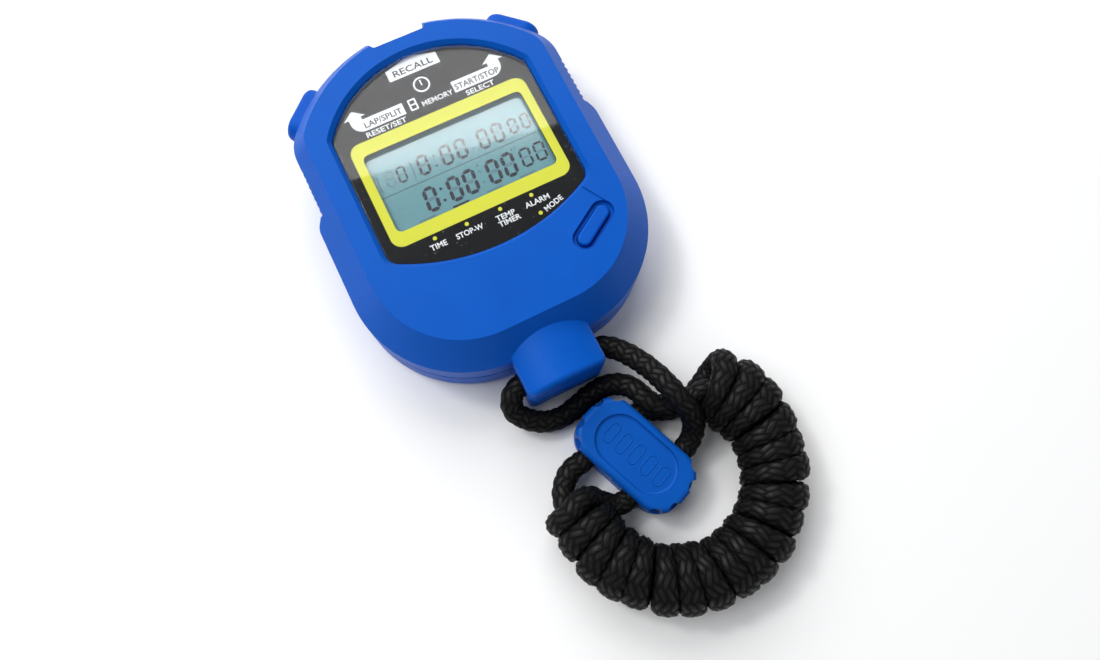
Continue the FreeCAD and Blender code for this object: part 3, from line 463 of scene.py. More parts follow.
def lettering(words, centre, width, height, low, thickness, turn=0.0, weight=0.012):
    """Words as a closed slab: the letters' outlines stretched to the given width and height, turned
    about their middle and put at centre."""
    curve = bpy.data.curves.new(words, "FONT")
    curve.body = words
    curve.extrude = 0.5
    curve.offset = weight
    curve.resolution_u = 3
    holder = bpy.data.objects.new(words, curve)
    bpy.context.scene.collection.objects.link(holder)
    bpy.context.view_layer.update()
    mesh = bpy.data.meshes.new_from_object(holder.evaluated_get(bpy.context.evaluated_depsgraph_get()))
    mesh.calc_loop_triangles()
    points = np.zeros(len(mesh.vertices) * 3)
    mesh.vertices.foreach_get("co", points)
    faces = np.zeros(len(mesh.loop_triangles) * 3, dtype=np.int32)
    mesh.loop_triangles.foreach_get("vertices", faces)
    bpy.data.objects.remove(holder)
    bpy.data.curves.remove(curve)
    bpy.data.meshes.remove(mesh)
    points = points.reshape(-1, 3)
    lowest, highest = points.min(axis=0), points.max(axis=0)
    size = np.array([width, height, thickness]) / (highest - lowest)
    points = (points - (lowest + highest) / 2) * size
    angle = math.radians(turn)
    across = points[:, 0] * math.cos(angle) - points[:, 1] * math.sin(angle) + centre[0]
    along = points[:, 0] * math.sin(angle) + points[:, 1] * math.cos(angle) + centre[1]
    return np.c_[across, along, points[:, 2] + low + thickness / 2], faces.reshape(-1, 3).tolist()


# ---- Mouldings ----
class STOPWATCH_OT_mouldings(bpy.types.Operator):
    """Give the shells, buttons, slider and outer screws their plastics and metal"""
    bl_idname = "stopwatch.mouldings"
    bl_label = "Mouldings"

    def execute(self, context):
        colours = context.scene.stopwatch_colours
        shell = moulded("case_plastic", colours.case_blue, roughness=0.46)
        button = moulded("button_plastic", colours.button_blue, roughness=0.50, depth=0.003 * MM, wear=0.1)
        slider = moulded("slider_plastic", colours.slider_blue, roughness=0.40, depth=0.006 * MM, wear=0.12)
        for node in ("front_shell", "rear_shell"):
            paint(node, shell)
        for node in ("start_button", "lap_button", "recall_button", "mode_button"):
            paint(node, button)
        for node in ("slider_lower", "slider_upper"):
            paint(node, slider)
        paint("case_gasket", speckled("gasket_rubber", (0.02, 0.02, 0.022), 0.7, 1.5 * MM))
        paint("case_screws", plated("screw_steel", (0.55, 0.55, 0.56), 0.3))
        return {"FINISHED"}


# ---- Inside ----
class STOPWATCH_OT_works(bpy.types.Operator):
    """Give the board, cell, sounder, contacts and display frame their finishes"""
    bl_idname = "stopwatch.works"
    bl_label = "Works"

    def execute(self, context):
        metal = plated("nickel_plate", (0.72, 0.71, 0.68))
        brass = plated("brass_plate", (0.78, 0.58, 0.22), 0.28)
        metals = ("coin_cell", "cell_clip", "cell_contact", "piezo_contacts", "crystal", "board_screws",
                  "start_contact", "lap_contact", "recall_contact", "mode_contact")
        for node in metals:
            paint(node, metal)
        paint("piezo_disc", brass)
        paint("circuit_board", laminate("board_laminate", (0.02, 0.16, 0.06)))
        paint("chip_blob", speckled("chip_resin", (0.008, 0.008, 0.009), 0.18, 4 * MM, depth=0.05 * MM))
        paint("board_parts", speckled("ceramic", (0.32, 0.22, 0.14), 0.45, 0.8 * MM))
        rubber = speckled("strip_rubber", (0.35, 0.32, 0.30), 0.6, 0.3 * MM, contrast=0.5)
        paint("zebra_strip_upper", rubber)
        paint("zebra_strip_lower", rubber)
        paint("lcd_holder", moulded("holder_plastic", (0.62, 0.62, 0.58), roughness=0.5))
        return {"FINISHED"}


# ---- Window and printing ----
def print_origin(settings):
    """Middle of the printing, and the height of the black ground that it lies on."""
    low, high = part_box("lcd_front_glass")
    return (low.x + high.x) / 2 + settings.shift_x, (low.y + high.y) / 2 + settings.shift_y, \
        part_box("printed_mask")[1].z


def from_origin(origin, points):
    """Outline given in millimetres from the middle of the printing, in metres in the row frame."""
    return np.array(points, float) * MM + np.array(origin[:2])


def corner_arc(centre, radius, start, stop, steps=8):
    """Points of an arc: centre plus radius times the cosine and sine of angles in degrees."""
    angle = np.radians(np.linspace(start, stop, steps))
    return np.c_[centre[0] + radius * np.cos(angle), centre[1] + radius * np.sin(angle)]


def bent_arrow():
    """Left label's outline in millimetres: a bar that turns up round a corner into an arrowhead."""
    return np.vstack([
        [(-5.5, 16.85), (-5.5, 14.15)],
        corner_arc((-14.3, 16.65), 2.5, 270, 180),
        [(-16.8, 17.65), (-17.9, 17.65), (-15.6, 19.4), (-13.2, 17.65), (-14.2, 17.65), (-14.2, 16.85)],
    ])


class STOPWATCH_OT_window(bpy.types.Operator):
    """Make the window clear and its printed ground black"""
    bl_idname = "stopwatch.window"
    bl_label = "Window"

    def execute(self, context):
        colours = context.scene.stopwatch_colours
        paint("window_lens", clear_sheet("clear_acrylic", 1.49, 0.01, (1.0, 1.0, 1.0, 1.0)))
        paint("printed_mask", printed("ground_ink", colours.print_black, 0.35))
        return {"FINISHED"}


class STOPWATCH_OT_printing(bpy.types.Operator):
    """Print the band, the labels, the marks and the captions behind the window"""
    bl_idname = "stopwatch.printing"
    bl_label = "Printing"

    def execute(self, context):
        colours = context.scene.stopwatch_colours
        sizes = context.scene.stopwatch_print
        origin = print_origin(sizes)
        yellow = printed("yellow_ink", colours.print_yellow)
        white = printed("white_ink", colours.print_white)
        black = printed("black_ink", colours.print_black)
        ink = sizes.ink
        low = origin[2] + ink * 0.5
        middle = np.array(origin[:2])
        outer = rounded_outline(sizes.band_width, sizes.band_height, sizes.band_corner) + middle
        inner = rounded_outline(sizes.view_width, sizes.view_height, sizes.view_corner) + middle
        marks = [(-11.6, -13.1), (-4.7, -13.1), (2.6, -13.1), (9.5, -13.1), (9.5, -17.35)]
        around = corner_arc((0, 0), sizes.dot, 0, 345, 24)
        dots = [slab(around + from_origin(origin, mark), low, low + ink) for mark in marks]
        piece("display_band", joined([band(outer, inner, low, low + ink), *dots]), yellow)

        left = bent_arrow()
        right = (left * (-1, 1))[::-1]
        house = [(-5.7, 22.15), (5.7, 22.15), (5.7, 24.75), (0.0, 26.25), (-5.7, 24.75)]
        labels = [slab(from_origin(origin, outline), low, low + ink) for outline in (left, right, house)]
        box_outer = rounded_outline(1.75, 2.7, 0.15, 3)
        box_inner = rounded_outline(1.0, 1.95, 0.1, 3)
        at = (-3.5, 15.5)
        edges = [from_origin(origin, box + at) for box in (box_outer, box_inner)]
        figure = band(*edges, low, low + ink)
        bar = slab(from_origin(origin, rounded_outline(1.2, 0.38, 0.05, 2) + at), low, low + ink)
        ring = corner_arc((0, 19.0), 1.8, 0, 350, 36)
        badge = band(from_origin(origin, ring), from_origin(origin, ring * 0.78 + (0, 19.0 * 0.22)),
                     low, low + ink)
        hand = slab(from_origin(origin, [(-0.17, 18.8), (0.17, 18.8), (0.17, 20.1), (-0.17, 20.1)]),
                    low, low + ink)
        piece("printed_labels", joined([*labels, figure, bar, badge, hand]), white)

        captions = [("RESET/SET", -10.4, 13.1, 8.8, 1.2, 0), ("SELECT", 10.6, 13.1, 6.4, 1.2, 0),
                    ("MEMORY", 1.7, 14.75, 6.9, 1.25, 0), ("TIME", -11.5, -14.75, 3.5, 1.2, 0),
                    ("STOP-W", -4.8, -14.75, 5.8, 1.2, 0), ("TEMP", 3.0, -14.75, 4.1, 1.15, 0),
                    ("TIMER", 3.3, -16.1, 4.7, 1.15, 0), ("ALARM", 10.0, -14.75, 5.3, 1.2, 0),
                    ("MODE", 12.75, -16.6, 4.4, 1.2, 15)]
        words = [lettering(text, from_origin(origin, (x, y)), width * MM, height * MM, low, ink, turn, 0.02)
                 for text, x, y, width, height, turn in captions]
        piece("printed_captions", joined(words), white, merge=1e-6)

        knocked_out = [("RECALL", 0.0, 23.5, 8.8, 1.5), ("LAP/SPLIT", -10.2, 15.35, 8.2, 1.35),
                       ("START/STOP", 10.9, 15.35, 10.0, 1.35)]
        words = [lettering(text, from_origin(origin, (x, y)), width * MM, height * MM, low + ink * 0.8, ink)
                 for text, x, y, width, height in knocked_out]
        piece("label_words", joined(words), black, merge=1e-6)
        return {"FINISHED"}


# ---- Display ----
ALL_BARS = (0, 1, 2, 3, 4, 5, 6)
MIDDLE_BAR = (3,)
RIM_BARS = (0, 1, 2, 4, 5, 6)


def figure_bars(left, bottom, width, height, stroke, chosen, lean=0.075, gap=0.09):
    """Bars of one seven-bar figure in millimetres, as hexagons: each bar's axis from end to end, with
    half a stroke to either side and pointed ends. The figure leans by a share of its height."""
    half = stroke / 2
    x0, x1 = half, width - half
    y0, y1, y2 = half, height / 2, height - half
    axes = np.array([[(x0, y0), (x1, y0)], [(x0, y0), (x0, y1)], [(x1, y0), (x1, y1)], [(x0, y1), (x1, y1)],
                     [(x0, y1), (x0, y2)], [(x1, y1), (x1, y2)], [(x0, y2), (x1, y2)]])[list(chosen)]
    start, end = axes[:, 0], axes[:, 1]
    along = (end - start) / np.linalg.norm(end - start, axis=1, keepdims=True)
    side = np.stack([-along[:, 1], along[:, 0]], axis=1) * half
    start = start + along * gap
    end = end - along * gap
    inset = along * half
    bars = np.stack([start, start + inset - side, end - inset - side, end, end - inset + side,
                     start + inset + side], axis=1)
    bars[..., 0] += bars[..., 1] * lean
    return list(bars + (left, bottom))


def bar_outline(x0, y0, x1, y1, width):
    """Thin straight line in millimetres as a four-cornered outline."""
    start, end = np.array((x0, y0)), np.array((x1, y1))
    along = (end - start) / np.linalg.norm(end - start)
    side = np.array((-along[1], along[0])) * width / 2
    return np.array([start - side, end - side, end + side, start + side])


class STOPWATCH_OT_display(bpy.types.Operator):
    """Make the display's face, its figures and the film over them"""
    bl_idname = "stopwatch.display"
    bl_label = "Display"

    def execute(self, context):
        colours = context.scene.stopwatch_colours
        sizes = context.scene.stopwatch_print
        face = display_ground("display_face", colours.display_ground)
        for node in ("lcd_front_glass", "lcd_rear_glass", "lcd_reflector"):
            paint(node, face)
        low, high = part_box("lcd_front_glass")
        origin = ((low.x + high.x) / 2, (low.y + high.y) / 2)
        top = high.z + 0.01 * MM
        upper = [(-8.35, 1.0), (-3.25, 1.0), (0.0, 1.0), (5.05, 1.0), (8.35, 1.0)]
        lower = [(-10.15, -6.95), (-5.0, -6.95), (-1.5, -6.95), (3.65, -6.95), (7.15, -6.95)]
        small = [(12.05, 1.5, 2.1, 3.65), (14.85, 1.5, 2.1, 3.65), (11.2, -6.35, 2.5, 4.3),
                 (14.4, -6.35, 2.5, 4.3)]
        rows = [(x, y, 2.5, 4.6, 0.62) for x, y in upper] + [(x, y, 2.85, 5.5, 0.76) for x, y in lower]
        rows += [(x, y, w, h, 0.52) for x, y, w, h in small] + [(-12.85, 1.45, 2.0, 3.7, 0.45)]
        dark = [bar for x, y, w, h, s in rows for bar in figure_bars(x, y, w, h, s, RIM_BARS)]
        faint = [bar for x, y, w, h, s in rows for bar in figure_bars(x, y, w, h, s, MIDDLE_BAR)]
        faint += figure_bars(-15.4, 1.45, 2.0, 3.7, 0.45, ALL_BARS)
        dot = corner_arc((0, 0), 0.30, 0, 330, 12)
        dark += [dot * k + at for at, k in (((-4.5, 2.0), 0.9), ((-4.3, 4.25), 0.9), ((-6.2, -5.6), 1.1),
                                            ((-5.95, -3.0), 1.1))]
        faint += [dot * k + at for at, k in (((3.8, 2.1), 0.9), ((4.0, 4.4), 0.9), ((2.5, -5.5), 1.1),
                                             ((2.7, -3.0), 1.1))]
        dark += [bar_outline(-5.4, -7.75, -1.9, -7.75, 0.42), bar_outline(-17.5, 0.0, 17.5, 0.0, 0.13)]
        faint += [bar_outline(x, -7.75, x + 3.5, -7.75, 0.40) for x in (-12.8, 2.0, 9.4)]
        for x, y in ((3.85, 5.4), (2.75, -1.75), (11.7, 5.5), (12.25, 5.5), (10.55, -1.6), (11.25, -1.6)):
            dark.append(bar_outline(x, y, x + 0.18, y + 0.5, 0.17))
        for x, side in ((-16.75, 1), (-9.35, -1)):
            dark.append(bar_outline(x, 1.5, x + 0.05, 5.1, 0.13))
            dark.append(bar_outline(x, 1.5, x + 0.4 * side, 1.15, 0.13))
            dark.append(bar_outline(x + 0.05, 5.1, x + 0.45 * side, 5.45, 0.13))
        ink = 0.02 * MM
        on = speckled("figure_on", colours.figure_dark, 0.4, 2 * MM)
        off = speckled("figure_off", colours.figure_faint, 0.4, 2 * MM, contrast=0.08)
        piece("display_figures", joined([slab(from_origin(origin, bar), top, top + ink) for bar in dark]),
              on)
        words = [("AM PM", -14.5, -1.5, 4.2, 0.75), ("SPLIT", -14.2, -3.5, 3.4, 0.75),
                 ("RECALL", -14.2, -5.3, 4.6, 0.85), ("LAP", -14.5, 6.9, 2.3, 0.75),
                 ("1/100", 15.3, -1.0, 2.6, 0.7)]
        outlines = [slab(from_origin(origin, bar), top, top + ink) for bar in faint]
        tags = [lettering(text, from_origin(origin, (x, y)), w * MM, h * MM, top, ink, weight=0.0)
                for text, x, y, w, h in words]
        piece("display_faint_figures", joined(outlines), off)
        ghost = tuple(0.72 * a + 0.28 * b for a, b in zip(colours.display_ground, colours.figure_faint))
        piece("display_tags", joined(tags), speckled("tag_off", ghost, 0.4, 2 * MM, contrast=0.05),
              merge=1e-6)
        film = rounded_outline(sizes.view_width + 1.3 * MM, sizes.view_height + 1.3 * MM, 1.4 * MM)
        piece("display_film", slab(film + origin, top + 0.06 * MM, top + 0.12 * MM),
              polariser("satin_film"))
        return {"FINISHED"}


# ---- Slider ----
SLIDER_ANGLE = -68.3
DISH_DEPTH = 0.7 * MM
RIB_SPOTS = (-6.4, -3.2, 0.0, 3.2, 6.4)
RIB_WIDTH, RIB_LENGTH, RIB_CORNER, RIB_WIRE = 1.9, 4.4, 0.93, 0.16


class STOPWATCH_OT_slider_relief(bpy.types.Operator):
    """Raise a row of plain ribs in the slider's dish"""
    bl_idname = "stopwatch.slider_relief"
    bl_label = "Slider relief"

    def execute(self, context):
        colours = context.scene.stopwatch_colours
        low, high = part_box("slider_upper")
        middle = np.array([(low.x + high.x) / 2, (low.y + high.y) / 2])
        floor = high.z - DISH_DEPTH
        turn = math.radians(SLIDER_ANGLE)
        axes = np.array([[math.cos(turn), math.sin(turn)], [-math.sin(turn), math.cos(turn)]])
        arch = np.linspace(0, math.pi, 7)
        spread = np.r_[np.cos(arch), 0.6, -0.6][:, None]
        rise = np.r_[np.sin(arch) * RIB_WIRE - 0.02, -0.12, -0.12]
        ribs = []
        path = rounded_outline(RIB_WIDTH, RIB_LENGTH, RIB_CORNER, 10)
        outward = rounded_outline(RIB_WIDTH + 2, RIB_LENGTH + 2, RIB_CORNER + 1, 10) - path
        outward /= np.linalg.norm(outward, axis=1, keepdims=True)
        for spot in RIB_SPOTS:
            flat = path[None] + outward[None] * (spread * RIB_WIRE)[:, :, None] + (spot, 0)
            placed = (flat.reshape(-1, 2) * MM) @ axes + middle
            heights = floor + np.repeat(rise, len(path)) * MM
            ribs.append((np.c_[placed, heights], grid_faces(len(rise), len(path), True, True).tolist()))
        plastic = moulded("rib_plastic", colours.slider_blue, roughness=0.36, depth=0.004 * MM, wear=0.1)
        piece("slider_ribs", joined(ribs), plastic, smooth=True)
        return {"FINISHED"}


# ---- Cord ----
RIGHT_STRAND = [(8.4, -37.2, 8.0), (10.8, -38.0, 8.0), (13.3, -40.6, 8.3), (15.3, -44.2, 9.3),
                (16.5, -48.0, 11.1), (17.3, -51.6, 12.3), (18.2, -55.2, 12.1), (19.2, -58.4, 9.9),
                (18.8, -61.1, 6.6)]
LOWER_CHANNEL = [(15.97, -63.33, 4.4), (11.9, -64.32, 4.4), (3.0, -66.49, 4.4), (-0.16, -67.26, 4.4)]
WRAP_TAIL = [(-2.6, -66.9, 4.8), (-4.5, -65.1, 6.3), (-6.2, -63.1, 8.4), (-8.5, -63.0, 10.4)]
COIL_FEED = [(25.6, -53.2, 2.5), (22.8, -54.5, 2.4), (19.8, -55.2, 2.4), (16.9, -54.8, 2.6),
             (14.3, -53.5, 3.2)]
UPPER_CHANNEL = [(11.68, -52.55, 4.4), (8.5, -53.33, 4.4), (-1.9, -55.86, 4.4), (-4.45, -56.48, 4.4)]
CORE_TAIL = [(-6.6, -56.7, 4.6), (-9.0, -58.3, 4.8), (-10.8, -60.9, 5.4), (-11.0, -63.5, 6.0),
             (-10.2, -66.0, 6.6)]
LEFT_STRAND = [(27.4, -55.9, 6.8), (24.4, -54.6, 6.7), (21.2, -55.2, 6.6), (17.8, -55.0, 6.8),
               (14.7, -53.6, 7.0), (12.9, -51.2, 7.0), (12.2, -48.4, 6.6), (10.4, -45.9, 5.4),
               (7.4, -44.5, 3.9), (4.0, -44.7, 2.7), (0.2, -45.8, 2.4), (-3.6, -46.5, 2.4),
               (-7.2, -45.8, 2.9), (-10.2, -43.8, 3.9), (-12.2, -41.2, 5.6), (-11.3, -38.6, 7.2),
               (-8.4, -37.2, 8.0)]
FROM_BAIL = [(0.2, -37.2, 8.0), (4.4, -37.2, 8.0)]
INTO_BAIL = [(-4.4, -37.2, 8.0), (-0.2, -37.2, 8.0)]
COIL_MIDDLE = (10.8, -66.5, 6.9)
CORE_STEP, CORE_INSET = 14, 12
WIND_START, WIND_END, WHOLE_TURNS = 90, -142, 18
FLATTENING = 0.97
FLOOR_SHARE = 0.53
THICK_FROM, THICK_OVER, THICKENING = 0.74, 0.16, 0.26
CLOSING_FROM, CLOSING_OVER, CLOSING = 0.965, 0.035, 0.40
RING_STEP = 0.35 * MM
RING_POINTS = 44
STRAND_SWELL = 0.06
FULLNESS, FULLEST = 2.7, 1.2
WIDE_RANGE = (0.80, 1.34)
DEEP_RANGE = (0.92, 1.10)
OVERLAP = 1.02
ROUND_ENDS = 4
BLEND_RINGS = 31


def core_points(sizes):
    """Core of the windings: the coil's middle plus the arc radius along the angle, end to end."""
    angle = np.radians(np.arange(sizes.arc_start + CORE_INSET, sizes.arc_end - CORE_INSET, CORE_STEP))
    radius = sizes.arc_radius / MM
    return np.c_[COIL_MIDDLE[0] + radius * np.cos(angle), COIL_MIDDLE[1] + radius * np.sin(angle),
                 np.full(len(angle), COIL_MIDDLE[2])]


def winding_points(sizes, per_turn=14):
    """Windings: a helix about the core. The arc's angle grows evenly with the turn, and each point is the
    core's point plus the winding's radius, towards the outside by the turn's cosine and upwards by its
    sine. The radius and the pitch vary a little from turn to turn, and no turn sinks into the floor."""
    first, last = math.radians(WIND_START), math.radians(WIND_END) - 2 * math.pi * WHOLE_TURNS
    count = int((first - last) / (2 * math.pi) * per_turn)
    share = np.linspace(0, 1, count + 2)[1:-3]
    winding = first + (last - first) * share
    along = np.radians(sizes.arc_start + (sizes.arc_end - sizes.arc_start) * share)
    along = along + 0.014 * np.sin(winding * 0.37 + 0.8) + 0.010 * np.sin(winding * 0.83)
    thick = np.clip((share - THICK_FROM) / THICK_OVER, 0, 1)
    closing = np.clip((share - CLOSING_FROM) / CLOSING_OVER, 0, 1)
    uneven = 0.035 * np.sin(winding * 0.29) + 0.02 * np.sin(winding * 0.61 + 2)
    radius = sizes.wound_radius / MM * (1 + uneven + THICKENING * thick - CLOSING * closing)
    outward = sizes.arc_radius / MM + radius * np.cos(winding)
    height = np.maximum(COIL_MIDDLE[2] + radius * np.sin(winding) * FLATTENING,
                        sizes.diameter / MM * FLOOR_SHARE)
    return np.c_[COIL_MIDDLE[0] + outward * np.cos(along), COIL_MIDDLE[1] + outward * np.sin(along), height]


def cord_line(points):
    """Smooth line of a route: points read from an open NURBS spline of order 3 that has no bevel."""
    curve = bpy.data.curves.new("cord_line", "CURVE")
    curve.dimensions = "3D"
    spline = curve.splines.new("NURBS")
    spline.points.add(len(points) - 1)
    spline.points.foreach_set("co", np.c_[points, np.ones(len(points))].ravel())
    spline.order_u = 3
    spline.use_endpoint_u = True
    spline.resolution_u = 10
    holder = bpy.data.objects.new("cord_line", curve)
    bpy.context.scene.collection.objects.link(holder)
    bpy.context.view_layer.update()
    mesh = bpy.data.meshes.new_from_object(holder.evaluated_get(bpy.context.evaluated_depsgraph_get()))
    line = np.zeros(len(mesh.vertices) * 3)
    mesh.vertices.foreach_get("co", line)
    bpy.data.objects.remove(holder)
    bpy.data.curves.remove(curve)
    bpy.data.meshes.remove(mesh)
    return line.reshape(-1, 3)


def even_steps(line, step):
    """Points a step apart along a line, and how far along it each one is."""
    travelled = np.r_[0, np.cumsum(np.linalg.norm(np.diff(line, axis=0), axis=1))]
    distance = np.linspace(0, travelled[-1], int(travelled[-1] / step) + 1)
    return np.stack([np.interp(distance, travelled, line[:, axis]) for axis in range(3)], axis=1), distance


def cross_directions(line):
    """Two directions square to the line at each point, carried along it without twist."""
    tangent = np.gradient(line, axis=0)
    tangent /= np.linalg.norm(tangent, axis=1, keepdims=True)
    first = np.zeros_like(line)
    first[0] = np.cross(tangent[0], (0.0, 0.0, 1.0))
    for step in range(1, len(line)):
        carried = first[step - 1] - tangent[step] * np.dot(first[step - 1], tangent[step])
        first[step] = carried / np.linalg.norm(carried)
    first[0] /= np.linalg.norm(first[0])
    return first, np.cross(tangent, first)


def braid_height(turned, distance, strands, lay):
    """Relief of a two-over, two-under braid, from 0 between strands to 1 on their backs. Two families of
    strands cross: one counts the angle plus the distance over the lay, the other the angle minus it.
    Whole parts say which strands cross here, and fractions where on them the point lies."""
    one = turned * strands + distance / lay
    two = turned * strands - distance / lay
    one_whole, two_whole = np.floor(one), np.floor(two)
    one_part, two_part = one - one_whole, two - two_whole
    phase = np.mod(one_whole - two_whole, 4)
    one_over = phase < 2
    along_one = (1 - phase) + two_part
    along_two = (phase - 2) + one_part
    across = np.where(one_over, one_part, two_part)
    along = np.where(one_over, along_one, along_two) / 2
    ridge = np.sin(math.pi * across) ** RIDGE_POWER
    swell = SWELL_LEAST + (1 - SWELL_LEAST) * np.sin(math.pi * np.clip(along, 0, 1)) ** SWELL_POWER
    return ridge * swell


def coil_directions(line, sizes):
    """At each point of the line: the arc's direction, the direction away from the core, and the distance
    from the arc's middle."""
    centre = np.array(COIL_MIDDLE) * MM
    flat = line[:, :2] - centre[:2]
    reach = np.linalg.norm(flat, axis=1)
    out = np.c_[flat / reach[:, None], np.zeros(len(line))]
    arc = np.c_[-out[:, 1], out[:, 0], np.zeros(len(line))]
    core = centre + out * sizes.arc_radius
    off = line - core
    away = off / np.maximum(np.linalg.norm(off, axis=1), 1e-6)[:, None]
    return arc, away, reach


def pressed(line, offset, radius, windings, sizes):
    """Windings pressed together: offsets stretched along the arc to the room that a turn has there,
    shortened away from the core in return, and filled out from a circle towards a square: divided by the
    FULLNESS-power norm of the two shares. Loose cord stays round."""
    arc, away, reach = coil_directions(line, sizes)
    ends = (windings[ROUND_ENDS], windings[-1 - ROUND_ENDS])
    start, stop = (np.argmin(np.linalg.norm(line - end * MM, axis=1)) for end in ends)
    wound = np.zeros(len(line))
    wound[start:stop] = 1.0
    blend = np.hanning(BLEND_RINGS)
    wound = np.convolve(wound, blend / blend.sum(), mode="same")
    room = math.radians(sizes.arc_end - sizes.arc_start) / sizes.turns * reach
    wide = np.clip(room / sizes.diameter * OVERLAP, *WIDE_RANGE)
    deep = np.clip(1 / wide, *DEEP_RANGE)
    parts = [np.einsum("rcd,rd->rc", offset, direction) for direction in (arc, away)]
    shares = [np.abs(part) / radius for part in parts]
    fuller = (shares[0] ** FULLNESS + shares[1] ** FULLNESS + 1e-9) ** (-1 / FULLNESS)
    fuller = 1 + (np.clip(fuller, 1, FULLEST) - 1) * wound[:, None]
    for part, direction, factor in zip(parts, (arc, away), (wide, deep)):
        offset = offset + (part * (wound * (factor - 1))[:, None])[..., None] * direction[:, None]
    return offset * fuller[..., None]


class STOPWATCH_OT_cord(bpy.types.Operator):
    """Braid the neck cord along its route: out of the bail, through the slider, round itself and back"""
    bl_idname = "stopwatch.cord"
    bl_label = "Neck cord"

    def execute(self, context):
        sizes = context.scene.stopwatch_cord
        windings = winding_points(sizes)
        before = [*FROM_BAIL, *RIGHT_STRAND, *LOWER_CHANNEL, *WRAP_TAIL]
        route = np.vstack([before, windings, COIL_FEED, UPPER_CHANNEL, CORE_TAIL, core_points(sizes),
                           LEFT_STRAND, INTO_BAIL]) * MM
        line, distance = even_steps(cord_line(route), RING_STEP)
        first, second = cross_directions(line)
        rows, columns = len(line), RING_POINTS
        turned = np.arange(columns)[None, :] / columns
        height = braid_height(turned, distance[:, None], sizes.strands, sizes.lay)
        radius = sizes.diameter / 2 * (1 + STRAND_SWELL - sizes.relief * (1 - height))
        angle = turned * 2 * math.pi
        offset = radius[..., None] * (np.cos(angle)[..., None] * first[:, None]
                                      + np.sin(angle)[..., None] * second[:, None])
        offset = pressed(line, offset, radius, windings, sizes)
        points = (line[:, None] + offset).reshape(-1, 3)
        faces = grid_faces(rows, columns, False, True)
        last = (rows - 1) * columns
        caps = [list(range(columns)), list(range(last + columns - 1, last - 1, -1))]
        mesh = bpy.data.meshes.new("neck_cord")
        mesh.from_pydata(points.tolist(), [], faces[:, ::-1].tolist() + caps)
        mesh.polygons.foreach_set("use_smooth", np.full(len(mesh.polygons), True))
        row, column = np.divmod(np.arange((rows - 1) * columns)[:, None], columns)
        across = (column + np.array([[0, 1, 1, 0]])) * sizes.strands / columns
        along = distance[row + np.array([[0, 0, 1, 1]])] / sizes.lay
        own = np.stack([across, along], axis=-1)[:, ::-1].reshape(-1, 2)
        layer = mesh.uv_layers.new(name="braid")
        layer.data.foreach_set("uv", np.r_[own.ravel(), np.zeros(4 * columns)].astype(np.float32))
        mesh.materials.append(yarn("braided_yarn", context.scene.stopwatch_colours.cord_black))
        cord = bpy.data.objects.new("neck_cord", mesh)
        context.scene.collection.objects.link(cord)
        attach(cord, CASE)
        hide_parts(*CORD_NODES)
        return {"FINISHED"}


# ---- Stage ----
FLOOR_HALF = 3.0
MIDDLE = (0.0, 0.0, 0.01)
LAMPS = (
    ("back_softbox", (0.097, 0.612, 0.58), (0.0, 0.0, 0.0), (0.8, 0.6), 5.2),
    ("left_softbox", (-0.45, 0.25, 0.80), MIDDLE, (0.5, 0.5), 3.3),
    ("front_softbox", (0.30, -0.80, 0.55), MIDDLE, (0.8, 0.5), 1.0),
    ("small_key", (-0.35, 0.45, 0.75), MIDDLE, (0.15, 0.15), 1.8),
)


def softbox(name, place, aim, size, power):
    """Rectangular lamp at place that faces aim."""
    lamp = bpy.data.lights.new(name, "AREA")
    lamp.shape = "RECTANGLE"
    lamp.size, lamp.size_y = size
    lamp.energy = power
    holder = bpy.data.objects.new(name, lamp)
    bpy.context.scene.collection.objects.link(holder)
    holder.location = place
    direction = np.array(aim) - np.array(place)
    holder.rotation_mode = "XYZ"
    flat = math.hypot(direction[0], direction[1])
    holder.rotation_euler = (math.atan2(flat, -direction[2]), 0.0, math.atan2(-direction[0], direction[1]))


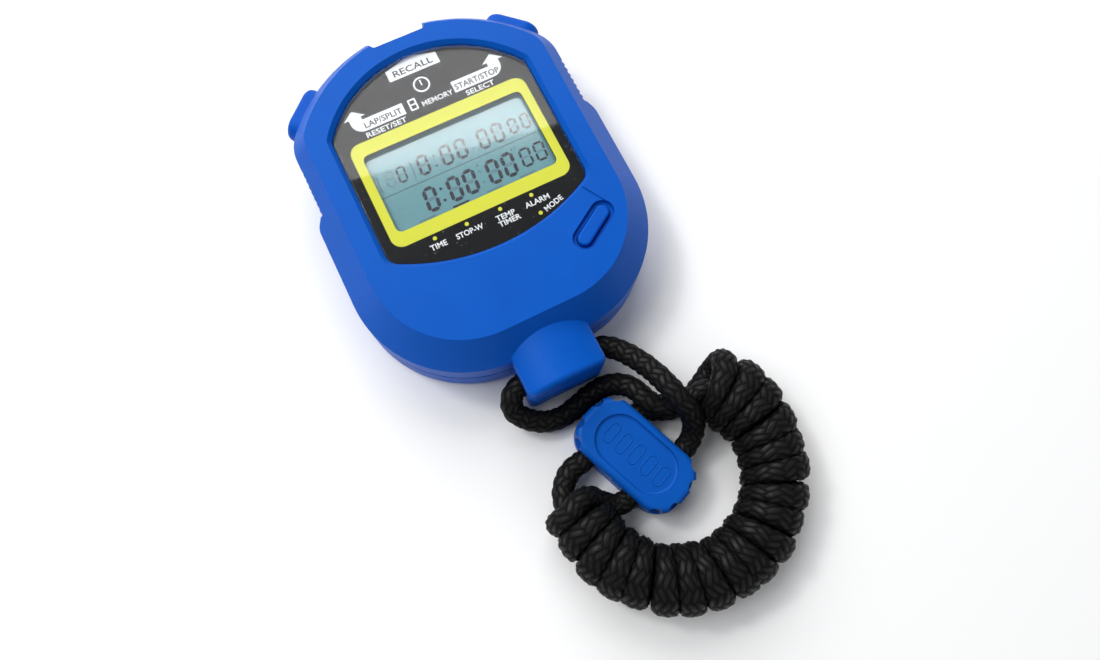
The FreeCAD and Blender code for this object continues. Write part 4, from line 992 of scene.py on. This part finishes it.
class STOPWATCH_OT_stage(bpy.types.Operator):
    """Put up the pale floor, the soft lamps and the camera"""
    bl_idname = "stopwatch.stage"
    bl_label = "Stage"

    def execute(self, context):
        studio = context.scene.stopwatch_studio
        mesh = bpy.data.meshes.new("floor")
        corners = [(x * FLOOR_HALF, y * FLOOR_HALF, 0) for x, y in ((-1, -1), (1, -1), (1, 1), (-1, 1))]
        mesh.from_pydata(corners, [], [(0, 1, 2, 3)])
        paper = speckled("floor_paper", studio.floor, 0.85, 40 * MM, contrast=0.01, depth=1e-6)
        mesh.materials.append(paper)
        floor = bpy.data.objects.new("floor", mesh)
        context.scene.collection.objects.link(floor)
        world = bpy.data.worlds.new("room")
        context.scene.world = world
        world.use_nodes = True
        sky = world.node_tree.nodes["Background"]
        sky.inputs["Color"].default_value = (0.95, 0.97, 1.0, 1.0)
        sky.inputs["Strength"].default_value = studio.room
        for lamp in LAMPS:
            softbox(*lamp)
        camera = bpy.data.objects.new("camera", bpy.data.cameras.new("camera"))
        context.scene.collection.objects.link(camera)
        camera.location = studio.camera
        camera.rotation_euler = [math.radians(angle) for angle in (studio.tilt, studio.lean, studio.turn)]
        camera.data.lens = studio.lens
        camera.data.sensor_width = 36.0
        camera.data.clip_start = 0.01
        context.scene.camera = camera
        context.scene.view_settings.view_transform = "Standard"
        return {"FINISHED"}


# ---- Panel ----
class STOPWATCH_PT_panel(bpy.types.Panel):
    """Sidebar panel with the pieces and the settings"""
    bl_label = "Stopwatch"
    bl_space_type = "VIEW_3D"
    bl_region_type = "UI"
    bl_category = "Stopwatch"

    def draw(self, context):
        for operator in OPERATORS:
            self.layout.operator(operator.bl_idname)
        for group in SETTINGS:
            settings = getattr(context.scene, group)
            section = self.layout.box()
            for name in settings.bl_rna.properties.keys():
                if name not in ("name", "rna_type"):
                    section.prop(settings, name)


SETTINGS = {
    "stopwatch_colours": StopwatchColours,
    "stopwatch_print": StopwatchPrint,
    "stopwatch_cord": StopwatchCord,
    "stopwatch_studio": StopwatchStudio,
}
OPERATORS = (STOPWATCH_OT_stage, STOPWATCH_OT_cord, STOPWATCH_OT_mouldings, STOPWATCH_OT_works,
             STOPWATCH_OT_window, STOPWATCH_OT_printing, STOPWATCH_OT_display, STOPWATCH_OT_slider_relief)


def register():
    for group in SETTINGS.values():
        bpy.utils.register_class(group)
    for name, group in SETTINGS.items():
        setattr(bpy.types.Scene, name, bpy.props.PointerProperty(type=group))
    for operator in OPERATORS:
        bpy.utils.register_class(operator)
    bpy.utils.register_class(STOPWATCH_PT_panel)


def unregister():
    bpy.utils.unregister_class(STOPWATCH_PT_panel)
    for operator in reversed(OPERATORS):
        bpy.utils.unregister_class(operator)
    for name in SETTINGS:
        delattr(bpy.types.Scene, name)
    for group in reversed(SETTINGS.values()):
        bpy.utils.unregister_class(group)


def main():
    register()
    for operator in OPERATORS:
        family, name = operator.bl_idname.split(".")
        getattr(getattr(bpy.ops, family), name)()


if __name__ == "__main__":
    main()
